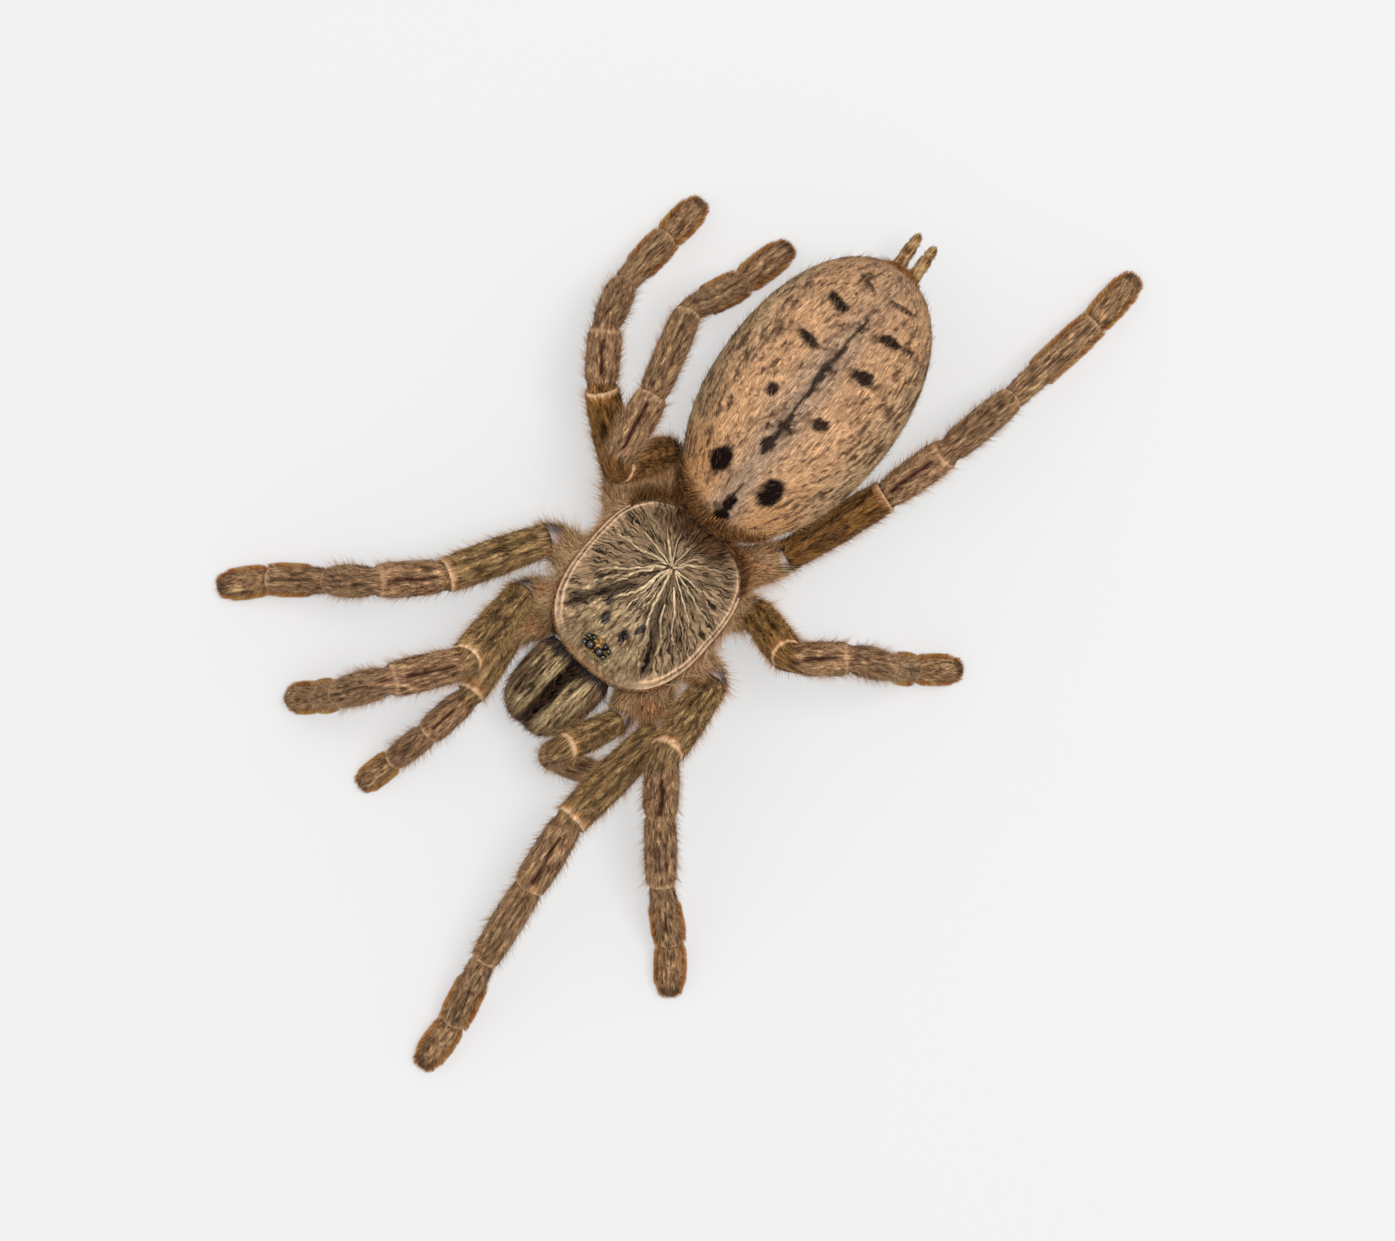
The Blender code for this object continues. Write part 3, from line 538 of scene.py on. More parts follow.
def limbGrid(name):
    # rings round the middle line of a limb: straight along each segment, a curve of two tangents at each
    # joint, and a dome at the tip. Returns the points with the segment number, the distance from its start,
    # the distance to its end (under 0 in the joint beyond it), the angle round the limb and the way along.
    kind = name.split("_")[0]
    names = ("coxa",) + (palpNames if kind == "palp" else segmentNames)
    joints = limbJoints(name)
    ways = [unit(b - a) for a, b in zip(joints, joints[1:])]
    backs = [backOf(way) for way in ways]
    girth, depth = limbGirth[kind], limbSkin["coatDepth"]
    stretches = []

    def put(centre, tangent, upper, radius, k, start, end):
        # the rings of one stretch
        flat = [np.broadcast_to(part, centre.shape) for part in (centre, tangent, upper)]
        stretches.append(flat + [np.broadcast_to(part, len(centre)) for part in (radius, k, start, end)])

    def ringRadius(k, share):
        radius = np.interp(share, limbSkin["stations"], segmentRadii[names[k]]) * girth
        if names[k] == "coxa" and kind == "palp":
            radius = radius * limbSkin["palpCoxa"] / girth
        lip = limbSkin["lip"] * ease(share, 0.93, 0.985) if k and k + 1 < len(names) else 0
        return radius - depth + lip

    trims = [0.0]
    for k in range(1, len(ways)):
        bend = math.acos(float(np.clip(np.dot(ways[k - 1], ways[k]), -1, 1)))
        trims.append(limbSkin["jointTrim"][0] + limbSkin["jointTrim"][1] * math.sin(bend / 2))
    trims.append(0.0)
    for k, way in enumerate(ways):
        length = np.linalg.norm(joints[k + 1] - joints[k])
        share = np.linspace(0, 1, limbSkin["perSegment"])
        share = share + limbSkin["crowding"] * np.sin(2 * math.pi * share)  # closer together at the ends
        share = (share - share.min()) / (share.max() - share.min())
        along = trims[k] + (length - trims[k] - trims[k + 1]) * share
        put(joints[k] + way * along[:, None], way, backs[k], ringRadius(k, share), k,
            along - trims[k], length - trims[k + 1] - along)
        if k + 1 < len(ways):
            t = (np.arange(limbSkin["perJoint"]) + 1) / (limbSkin["perJoint"] + 1)
            turn = t[:, None]
            start = joints[k + 1] - way * trims[k + 1]
            finish = joints[k + 1] + ways[k + 1] * trims[k + 1]
            curve = (1 - turn) ** 2 * start + 2 * turn * (1 - turn) * joints[k + 1] + turn ** 2 * finish
            tangent = unit(way * (1 - turn) + ways[k + 1] * turn)
            upper = backs[k] * (1 - turn) + backs[k + 1] * turn
            upper = unit(upper - tangent * np.sum(upper * tangent, axis=1, keepdims=True))
            width = ringRadius(k, np.array(1.0)) * (1 - t) + ringRadius(k + 1, np.array(0.0)) * t
            width = width * (1 - limbSkin["jointDip"] * np.sin(math.pi * t) ** 0.7)
            put(curve, tangent, upper, width, k, length, -t)
    turns = np.linspace(0, math.pi / 2, limbSkin["perTip"] + 2)[1:-1]
    last = ringRadius(len(ways) - 1, np.array(1.0))
    dome = joints[-1] + ways[-1] * (last * np.sin(turns))[:, None]
    put(dome, ways[-1], backs[-1], last * np.cos(turns), len(ways) - 1, 4.0, 0.0)
    centre, tangent, upper, radius, segment, start, end = (np.concatenate(part) for part in zip(*stretches))
    grid = tube(centre, np.cross(tangent, upper), upper, radius, limbSkin["around"])
    grid[..., 2] = np.maximum(grid[..., 2], floorClear * 2)
    shape = grid.shape[:2]
    angle = fullTurn(limbSkin["around"])
    fields = {
        "segment": np.broadcast_to(segment[:, None], shape).astype(float),
        "start": np.broadcast_to(start[:, None], shape),
        "end": np.broadcast_to(end[:, None], shape),
        "up": np.broadcast_to(np.sin(angle)[None], shape),
        "out": np.broadcast_to(np.cos(angle)[None], shape),
        "way": np.broadcast_to(tangent[:, None], grid.shape),
    }
    return names, grid, fields


limbTints = {  # the dark and the light of each segment's fur
    "coxa": (ink(180, 106, 60), ink(255, 212, 162)), "femur": (ink(40, 23, 9), ink(230, 186, 126)),
    "patella": (ink(54, 31, 18), ink(242, 190, 144)), "tibia": (ink(50, 29, 17), ink(238, 188, 142)),
    "metatarsus": (ink(54, 33, 20), ink(230, 182, 136)), "tarsus": (ink(60, 37, 21), ink(222, 174, 128)),
}
limbShade = {  # the hind femora are darker and redder
    "leg4_left": (0.6, 0.44, 0.27), "leg4_right": (0.66, 0.51, 0.34), "leg3_right": (0.84, 0.66, 0.42),
    "leg3_left": (0.92, 0.8, 0.62),
}
# joint is a painted shade colour for the creases at the joints.
limbInks = {
    "ring": ink(255, 208, 162), "slit": ink(54, 18, 10), "line": ink(28, 15, 8), "pad": ink(255, 162, 80),
    "padDark": ink(222, 128, 56), "membrane": ink(176, 164, 164), "joint": ink(92, 62, 42),
    "tip": ink(56, 43, 34), "fringe": ink(255, 190, 134), "gold": ink(248, 208, 146),
    "belly": ink(150, 112, 74), "outline": ink(30, 20, 15),
}
# How wide the marks are: the ring in millimetres; the slit, the dark lines and the hollows' painted shade as
# shares of the limb's radius, and in the same shares how far a pair of lines lies from the middle.
limbMarks = {"ring": 0.3, "slit": 0.155, "line": 0.1, "apart": 0.36, "hollowShade": 0.15}


def limbColour(names, points, segment, start, end, up, out, way):
    # the fur's colour at places on a limb: the segment's own in streaks, then ring, slit, pad and membrane
    k = np.clip(np.round(segment).astype(int), 0, len(names) - 1)
    darks, lights = (np.stack([limbTints[name][part] for name in names])[k] for part in (0, 1))
    kinds = np.array(names)[k]
    fine = streaks(points, way, 0.16, 0.7, 11)
    broad = cloud(points, 1.3, 12)
    long = streaks(points, way, 0.3, 2.6, 14, 9)
    level = 0.78 * fine + 0.24 * long + 0.08 * broad - 0.05
    colour = blendTo(darks, lights, 0.05 + 0.75 * ease(level, 0.1, 0.9))
    colour = blendTo(colour, limbInks["gold"], ease(fine, 0.66, 0.88) * 0.4)
    colour = blendTo(colour, limbInks["belly"] * (0.6 + 0.8 * fine)[..., None], ease(-up, 0.3, 0.9) * 0.6)
    wobble = 0.14 * (cloud(points, 1.4, 13) - 0.5)
    arch = 0.42 * (cloud(points, 0.36, 15) - 0.5) + 0.12 * (1 - np.abs(out)) * (kinds == "femur")
    width = limbMarks["ring"] * np.where(kinds == "femur", 1.1, 0.8)
    ring = ease(end, -0.12, -0.03) * (1 - ease(end - arch, width * 0.7, width * 1.25))
    ring = ring * ease(up, -0.35, 0.25) * (segment > 0) * (kinds != "tarsus")
    inJoint = (end < -0.02) & (segment > 0)
    # painted shade in the joint creases: the bend beyond a segment and the start of each segment past the
    # femur are darkened
    colour = blendTo(colour, limbInks["joint"], np.where(inJoint, 0.45, 0.0))
    colour = blendTo(colour, limbInks["joint"], (1 - ease(start, 0.05, 0.3)) * (segment > 1) * 0.5)
    band = np.exp(-((end - arch - width * 1.5) / 0.12) ** 2) * ease(up, -0.3, 0.3) * (kinds == "femur")
    colour = blendTo(colour, limbInks["padDark"], band * 0.5)
    vivid = np.where(kinds == "femur", 1.0, np.where(kinds == "patella", 0.35, 0.6))
    vivid = vivid * (0.65 + 0.5 * cloud(points, 0.3, 17))
    colour = blendTo(colour, limbInks["ring"] * (0.8 + 0.4 * fine)[..., None], ring * np.clip(vivid, 0, 1))
    hip = (end < 0.3) * (1 - ease(-end, 0.85, 1.0)) * ease(up, -0.1, 0.4) * (segment == 0)
    # painted highlight: the membrane is lighter in its middle, as a sheen, and darker towards its edges
    paintedSheen = (0.35 + 0.95 * ease(1 - np.abs(out), 0.35, 0.9)) * (0.8 + 0.4 * cloud(points, 0.5, 16))
    colour = blendTo(colour, limbInks["membrane"] * paintedSheen[..., None], hip * 0.95)
    edge = np.exp(-((end - 0.3) / 0.09) ** 2) * ease(up, -0.2, 0.3) * (segment == 0)
    colour = blendTo(colour, limbInks["outline"], edge * 0.85)
    colour = blendTo(colour, limbInks["outline"], (1 - ease(start, 0.08, 0.26)) * (segment == 1) * 0.85)
    slit = np.exp(-((out + wobble + 0.04) / limbMarks["slit"]) ** 2) * (up > 0) * (kinds == "patella")
    slit = slit * ease(start, 0.3, 0.9) * ease(end, 0.5, 1.1)
    middle = np.exp(-((out + wobble) / limbMarks["line"]) ** 2) * np.isin(kinds, ("tibia", "metatarsus"))
    beside = np.abs(out + wobble) - limbMarks["apart"]
    pair = np.exp(-(beside / limbMarks["line"]) ** 2) * np.isin(kinds, ("femur", "tibia"))
    line = np.maximum(middle, pair * 0.8) * (up > 0) * ease(start, 0.4, 1.2) * ease(end, 0.8, 2.0)
    line = line * ease(long, 0.2, 0.34)
    # painted shade: the femur is darkened in the hollows along its pair of lines
    hollowShade = np.exp(-(beside / limbMarks["hollowShade"]) ** 2) * (kinds == "femur") * (up > 0)
    colour = colour * (1 - 0.3 * hollowShade * ease(start, 0.3, 1.5) * ease(end, 0.8, 2.5))[..., None]
    colour = blendTo(colour, limbInks["slit"], np.clip(slit * 1.2, 0, 1))
    colour = blendTo(colour, limbInks["line"], line * 0.96)
    tip = (kinds == "tarsus") * (1 - ease(end, -0.1, 0.45))
    colour = blendTo(colour, limbInks["tip"], tip * 0.75)
    pad = (kinds == "metatarsus") * ease(start / np.maximum(start + end, 0.1), 0.25, 0.5)
    pad = np.where(kinds == "tarsus", 1.0, pad) * ease(-up, -0.5, -0.2)
    padInk = blendTo(limbInks["padDark"], limbInks["pad"], ease(fine, 0.25, 0.7))
    colour = blendTo(colour, padInk, pad * 0.95)
    bare = np.clip(slit * 1.3 + hip + line * 0.95, 0, 1)
    return colour, kinds, pad, ring, bare


# Tufts on each segment: how long, how wide and how far they stand off, in millimetres and degrees.
limbFur = {
    "coxa": (1.15, 0.066, 26), "femur": (0.6, 0.056, 13), "patella": (0.5, 0.056, 13),
    "tibia": (0.54, 0.056, 14), "metatarsus": (0.5, 0.054, 15), "tarsus": (0.42, 0.054, 18),
}
limbCounts = {"leg1": 19500, "leg2": 18500, "leg3": 17500, "leg4": 20500, "palp": 10000}
limbCoatParts = {"fur": 1.0, "long": 0.34, "pad": 0.2}  # how many tufts, as shares of the counts above
limbFields = ("segment", "start", "end", "up", "out")


def shadeFemur(name, colour, segment, ring):
    # makes a hind leg's femur darker, all but its ring
    femur = ((segment > 0.5) & (segment < 1.5)) * (1 - ring)
    return blendTo(colour, colour * limbShade.get(name, (1, 1, 1)), femur)


def limbCoat(name, grid, fields, names, seed):
    # short fur all over, longer thinner hair that stands out along the edges, and the pads' dense fringe
    batches = []
    normals = gridNormals(grid)
    padWeight = np.isin(np.array(names)[fields["segment"].astype(int)], ("metatarsus", "tarsus"))
    padWeight = padWeight * np.exp(-((fields["up"] - 0.1) / 0.3) ** 2)
    for number, (part, share) in enumerate(limbCoatParts.items()):
        count = int(limbCounts[name.split("_")[0]] * share) if fullCoat else 200
        weight = padWeight if part == "pad" else None
        spots, root, normal, draw = sprinkle(grid, normals, count, seed + number, weight)
        way = unit(readGrid(fields["way"], *spots))
        segment, start, end, up, out = (readGrid(fields[key], *spots) for key in limbFields)
        colour, kinds, pad, ring, bare = limbColour(names, root, segment, start, end, up, out, way)
        row = np.clip(np.round(segment).astype(int), 0, len(names) - 1)
        usual = np.array([limbFur[key] for key in names])[row]
        spread = draw.random(count)
        length = usual[:, 0] * (0.65 + 0.7 * spread)
        width = usual[:, 1] * (0.75 + 0.5 * draw.random(count))
        lift = np.radians(usual[:, 2] + 8 * draw.standard_normal(count))
        turn = 0.13 * draw.standard_normal(count)
        keep = draw.random(count) > bare * 0.97
        inJoint = (end < 0) & (segment > 0) & (kinds != "tarsus")
        keep &= ~(inJoint & (draw.random(count) < 0.7))
        length = np.where(inJoint, length * 0.45, length)
        short = (segment > 0) & (kinds != "tarsus") & (end >= 0)
        room = np.maximum(0.16, end - limbMarks["ring"] * 0.7 + 0.08)  # so that fur doesn't hide the ring
        length = np.where(short & (part != "long"), np.minimum(length, room), length)
        colour = shadeFemur(name, colour * uneven(draw, count, 0.48, 0.35, 2.3), segment, ring)
        lie = swerve(way, normal, turn)
        if part == "long":
            length = length * 1.25 + 0.36 + 0.5 * spread ** 3
            width = width * 0.56
            lift = lift + math.radians(20) + math.radians(16) * draw.random(count)
            lie = swerve(way, normal, turn * 2.2)
            length = np.where(np.isin(kinds, ("tarsus", "metatarsus")), length * 0.6, length)
            colour = blendTo(colour, limbInks["fringe"] * (0.5 + 0.5 * spread)[:, None], 0.4 + 0.4 * spread)
        if part == "pad":
            lie = way * 0.9 + np.array([0.0, 0.0, -0.3])
            lift = np.radians(40 + 4 * draw.standard_normal(count))
            length, width = 0.58 + 0.1 * spread, 0.075
            keep = pad > 0.2
        uv = spotUv(grid, *spots)
        batches.append(growTufts(root, normal, lie, length, width, lift, colour, uv, keep=keep))
    return batches


for number, name in enumerate(limbPose):
    names, grid, fields = limbGrid(name)
    spots = [fields[key] for key in limbFields]
    colour, kinds, pad, ring, bare = limbColour(names, grid, *spots, fields["way"])
    colour = shadeFemur(name, colour, fields["segment"], ring) * 0.85
    lined = 1 - 0.75 * np.clip(ring + bare, 0, 1)
    tint = np.concatenate([colour, lined[..., None]], -1)
    nodes = [name + "_" + part for part in names[1:]]
    addSkin(name + "_limb", grid, tint, linedFinishes["limbSkin"], "leg_fur", *nodes)
    addCoat(name + "_coat", limbCoat(name, grid, fields, names, 100 + number * 10), "leg_fur")
print("limbs ready")


# Abdomen: an egg lying along its axis, its rings flatter below the widest level.
abdomen = {"front": (0.0, 4.93, 10.6), "rear": (-1.3, 34.5, 8.3), "halfWidth": 9.05, "above": 8.2,
           "below": 8.2, "tuck": 0.12, "widest": 0.51, "power": 2.1, "coatDepth": 0.22, "markDepth": 0.1,
           "lungDepth": 0.08, "rows": 200, "around": 190}
abdomenTints = {
    "back": ink(216, 168, 125), "flank": ink(222, 182, 138), "front": ink(218, 164, 110),
    "mid": ink(174, 145, 120), "spot": ink(24, 11, 8), "speck": ink(70, 42, 30), "belly": ink(146, 112, 84),
    "lung": ink(200, 166, 134), "waist": ink(96, 58, 30), "tail": ink(214, 140, 76),
    "long": ink(214, 176, 140),
}
# Dark marks on the back: middle, half width, half length, turn in degrees and strength.
abdomenSpots = (
    (-2.9, 10.2, 1.05, 1.4, 10, 1.0), (2.6, 10.7, 1.05, 1.45, -8, 1.0),
    (-3.4, 17.9, 0.66, 0.7, 0, 0.97), (2.0, 18.2, 0.75, 0.62, 25, 0.97),
    (-3.9, 23.5, 1.4, 0.56, -4, 0.97), (2.1, 24.0, 1.2, 0.72, 12, 0.97),
    (-4.2, 27.9, 1.4, 0.56, -14, 0.97), (1.9, 28.1, 1.2, 0.58, 14, 0.97), (3.4, 28.6, 1.1, 0.26, 14, 0.85),
    (-3.3, 31.1, 1.3, 0.28, -18, 0.9), (0.7, 31.3, 1.3, 0.3, 10, 0.85), (1.9, 31.6, 0.7, 0.2, 30, 0.6),
    (-0.45, 16.0, 0.85, 0.55, 0, 0.95), (-0.5, 13.9, 0.7, 0.72, 0, 0.95), (-1.6, 15.2, 0.45, 0.34, 0, 0.6),
    (0.5, 6.1, 0.75, 0.9, 0, 1.0), (0.35, 7.6, 0.5, 0.8, 0, 1.0), (-0.5, 6.8, 0.4, 0.3, 0, 0.6),
    (-3.0, 14.6, 0.6, 0.45, 20, 0.35), (-2.7, 8.4, 0.5, 0.7, 20, 0.35), (4.6, 24.4, 1.0, 0.8, 0, 0.3),
    (3.2, 21.9, 1.2, 0.7, 0, 0.3), (2.9, 15.2, 0.8, 0.5, 0, 0.25), (-2.2, 16.5, 0.8, 0.5, 0, 0.25),
)
# The broken line down the middle: places along it and its half width there.
abdomenLine = {
    "y": (5.0, 8.5, 9.6, 10.2, 12.6, 13.2, 17.0, 17.7, 18.6, 19.8, 22.4, 24.4, 25.6, 26.2, 28.0, 29.6),
    "x": (0.5, 0.15, 0.05, 0.0, -0.4, -0.45, -0.5, -0.7, -0.8, -0.7, -0.95, -0.85, -1.05, -1.0, -0.95, -1.1),
    "half": (0.3, 0.16, 0.1, 0.0, 0.0, 0.36, 0.36, 0.12, 0.24, 0.2, 0.46, 0.24, 0.12, 0.2, 0.12, 0.0),
}
abdomenLungs = ((-3.0, 9.4), (3.2, 9.4), (-3.4, 13.2), (3.4, 13.2))  # the pale plates beneath


def abdomenGrid():
    # rings of a superellipse of revolution, spaced by a cosine so that they crowd at both ends
    spec, inset = abdomen, abdomen["coatDepth"]
    share = (1 - np.cos(math.pi * (np.arange(spec["rows"]) + 0.6) / spec["rows"])) / 2
    share = np.clip(share, 0.0006, 0.9994)
    front, rear = np.array(spec["front"]), np.array(spec["rear"])
    reach = np.linalg.norm(rear - front)
    axisShare = inset / reach + share * (1 - 2 * inset / reach)
    centre = front + (rear - front) * axisShare[:, None]
    along = np.abs(2 * share ** (math.log(0.5) / math.log(spec["widest"])) - 1)
    full = np.maximum(0, 1 - along ** spec["power"]) ** (1 / spec["power"])
    angle = fullTurn(spec["around"])
    rise = np.sin(angle)[None]
    tuck = np.where(rise > 0, 1.0, 1 - spec["tuck"] * rise ** 2)
    height = np.where(rise > 0, spec["above"], spec["below"]) - inset
    x = (spec["halfWidth"] - inset) * full[:, None] * tuck * np.cos(angle)[None]
    z = height * full[:, None] * rise
    grid = centre[:, None] + np.stack([x, np.zeros_like(x), z], -1)
    return grid


def abdomenLie(points, normal):
    # the hair lies to the rear and fans outward, most of all near the front
    middle = np.interp(points[..., 1], (5, 34), (0.5, -1.3))
    fan = (points[..., 0] - middle) / 9 * (0.75 - 0.5 * ease(points[..., 1], 6, 26))
    lie = np.stack([fan, np.ones_like(fan), np.where(points[..., 1] < 12, 0.3, -0.1)], -1)
    return unit(lie - normal * np.sum(lie * normal, axis=-1, keepdims=True))


def abdomenColour(points, normal):
    # tan ground, darker streaks and specks that thicken down the sides, and the dark marks of the back
    spec = abdomenTints
    lie = abdomenLie(points, normal)
    fine = streaks(points, lie, 0.13, 0.8, 21)
    broad = cloud(points, 2.4, 22)
    x, y, z = points[..., 0], points[..., 1], points[..., 2]
    middle = np.interp(y, abdomenLine["y"], abdomenLine["x"])
    offset = np.abs(x - middle)
    grey = np.exp(-(offset / (2.1 + 1.2 * (broad - 0.5))) ** 2) * (0.95 - 0.55 * ease(y, 22, 32))
    colour = blendTo(spec["back"], spec["mid"], grey)
    colour = blendTo(colour, spec["front"], (1 - ease(y, 7, 15)) * ease(offset, 0.5, 4.0) * 0.85)
    # painted light: the flanks are paler, so that the sides stay bright where they turn away from the light
    colour = blendTo(colour, spec["flank"], ease(offset, 5, 8))
    colour = colour * (0.75 + 0.52 * fine + 0.16 * (broad - 0.5))[..., None]
    ragged = (cloud(points, 0.55, 23) - 0.5) * 0.9 + (streaks(points, lie, 0.2, 0.5, 24) - 0.5) * 0.7
    dark = np.zeros(points.shape[:-1])
    for cx, cy, halfX, halfY, turn, strength in abdomenSpots:
        c, s = math.cos(math.radians(turn)), math.sin(math.radians(turn))
        dx, dy = x - cx, y - cy
        across, along = (dx * c + dy * s) / halfX, (-dx * s + dy * c) / halfY
        away = np.sqrt(across ** 2 + along ** 2) + ragged * min(1.0, 0.6 / min(halfX, halfY)) * 0.55
        dark = np.maximum(dark, strength * (1 - ease(away, 0.8, 1.25)))
    half = np.interp(y, abdomenLine["y"], abdomenLine["half"])
    half = half * (0.7 + 0.7 * cloud(points, 0.9, 29))
    stripe = 1 - ease(offset / np.maximum(half, 0.02) + ragged, 0.7, 1.4)
    dark = np.maximum(dark, 0.92 * stripe * (half > 0.03))
    top = ease(normal[..., 2], -0.1, 0.12)
    side = ease(offset, 3.2, 7.5) * ease(z, 4.0, 8.0)
    speck = streaks(points, lie, 0.2, 0.36, 25, 4)
    dash = streaks(points, lie, 0.24, 0.9, 27, 6)
    patchy = 0.6 * cloud(points, 2.2, 26) + 0.4 * cloud(points, 0.9, 28)
    level = 0.67 - 0.05 * side - 0.4 * (patchy - 0.5)
    specks = ease(speck, level, level + 0.09) * 0.62
    specks = np.maximum(specks, ease(dash, level + 0.1 - 0.17 * side, level + 0.18 - 0.17 * side) * 0.85)
    colour = blendTo(colour, spec["speck"], specks * ease(z, 2.0, 6.0))
    colour = blendTo(colour, spec["waist"] * (0.6 + 0.8 * fine)[..., None], (1 - ease(y, 5.2, 6.8)) * 0.7)
    tail = ease(y, 32.2, 33.6) * (1 - ease(np.abs(x + 1.3), 1.6, 2.6)) * (1 - ease(z, 9.0, 11.0))
    colour = blendTo(colour, spec["tail"] * (0.6 + 0.8 * fine)[..., None], tail * 0.9)
    colour = blendTo(colour, spec["spot"], np.clip(dark, 0, 1) * top)
    under = ease(-normal[..., 2], 0.35, 0.8)
    lungs = np.zeros(points.shape[:-1])
    for cx, cy in abdomenLungs:
        lungs = np.maximum(lungs, 1 - ease(np.sqrt(((x - cx) / 1.7) ** 2 + ((y - cy) / 1.2) ** 2), 0.8, 1.1))
    belly = blendTo(spec["belly"] * (0.75 + 0.5 * fine)[..., None], spec["lung"], lungs * 0.7)
    colour = blendTo(colour, belly, under)
    return colour, dark * top, lungs * under, lie


grid = abdomenGrid()
normal = gridNormals(grid)
colour, dark, lungs, lie = abdomenColour(grid, normal)
grid = grid - normal * (abdomen["markDepth"] * dark + abdomen["lungDepth"] * lungs)[..., None]
addSkin("abdomen_skin", grid, colour * 0.92, linedFinishes["abdomenSkin"], "abdomen_fur", "abdomen")

abdomenFur = {"short": 43000, "long": 3300, "length": 0.52, "shortest": 0.6, "width": 0.075, "lift": 10}
batches = []
for longer in (False, True):
    count = abdomenFur["long" if longer else "short"] if fullCoat else 400
    spots, root, up, draw = sprinkle(grid, normal, count, 300 + longer)
    tint, dark, lungs, lie = abdomenColour(root, up)
    lie = swerve(lie, up, 0.17 * draw.standard_normal(count))
    length, width, lift = tuftSizes(draw, count, abdomenFur, 1 - 0.3 * dark)
    tint = tint * uneven(draw, count, 0.2, 0.55, 1.7)
    if longer:
        length, width, lift = length * 1.9, width * 0.5, lift + math.radians(22)
        tint = blendTo(tint, abdomenTints["long"], 0.5)
    batches.append(growTufts(root, up, lie, length, width, lift, tint, spotUv(grid, *spots)))
addCoat("abdomen_coat", batches, "abdomen_fur")

# Longer hair where the abdomen meets the carapace, lying forward, and round the spinnerets, lying back.
abdomenEnds = {
    "front": {"count": 9000, "rows": (0, 45), "length": 1.25,
              "dark": ink(78, 44, 20), "light": ink(240, 176, 110)},
    "tail": {"count": 1500, "rows": (186, 199), "length": 1.3,
             "dark": ink(120, 66, 28), "light": ink(244, 172, 100)},
}
batches = []
for number, (end, spec) in enumerate(abdomenEnds.items()):
    count, (first, last) = spec["count"] if fullCoat else 40, spec["rows"]
    (i, j, s, t), root, up, draw = sprinkle(grid[first:last], normal[first:last], count, 310 + number)
    if end == "front":
        lie = unit(np.stack([root[:, 0] * 0.25, np.full(count, -1.0), np.full(count, 0.1)], -1))
        near = 1 - ease(root[:, 1] - 0.34 * np.abs(root[:, 0]), 4.9, 6.6)
        keep = draw.random(count) < near * ease(root[:, 2], 4.0, 7.0) * (1 - ease(root[:, 2], 13.0, 15.5))
        share = draw.random(count) ** 1.2
    else:
        keep = (np.hypot(root[:, 0] + 1.3, root[:, 2] - 6.9) < 2.9) & (draw.random(count) < 0.9)
        lie = unit(np.array([-0.09, 1.0, -0.25]) + 0.2 * draw.standard_normal((count, 3)))
        share = draw.random(count)
    tint = blendTo(spec["dark"], spec["light"], share)
    length = spec["length"] * (0.6 + 0.7 * draw.random(count))
    lift = np.radians(14 + 10 * draw.standard_normal(count))
    uv = spotUv(grid, i + first, j, s, t)
    batches.append(growTufts(root, up, lie, length, 0.055, lift, tint, uv, lift * 0.6, keep))
addCoat("abdomen_ends_coat", batches, "abdomen_fur")
print("abdomen ready")


# Carapace: heights over the outline, from the fovea outward, with the furrows and the raised head. The skirt
# closes its side, with rings that lie in and down by these shares.
carapace = {"halfWidth": 7.4, "waistY": -3.45, "frontLength": 8.75, "rearLength": 8.3, "frontPower": 2.6,
            "rearPower": 3.0, "underside": 8.7, "rim": 9.2, "clypeus": 1.0, "thorax": 2.2, "head": 1.5,
            "headY": -7.6, "headHalfWidth": 4.0, "headHalfLength": 4.4, "fovea": 0.6, "furrow": 0.22,
            "furrowAngles": (36, 81, 108, 153), "coatDepth": 0.1, "rows": 96, "around": 400,
            "skirt": ((1.0, 0.35), (0.995, 0.8), (0.975, 1.0), (0.9, 1.0))}
carapaceTints = {
    "thorax": ink(110, 90, 68), "ray": ink(238, 206, 162), "head": ink(210, 180, 138),
    "headDark": ink(92, 68, 46), "band": ink(44, 32, 24), "patch": ink(38, 35, 38),
    "rim": ink(244, 204, 166), "rear": ink(66, 42, 24), "side": ink(166, 138, 108),
    "front": ink(206, 140, 88),
}
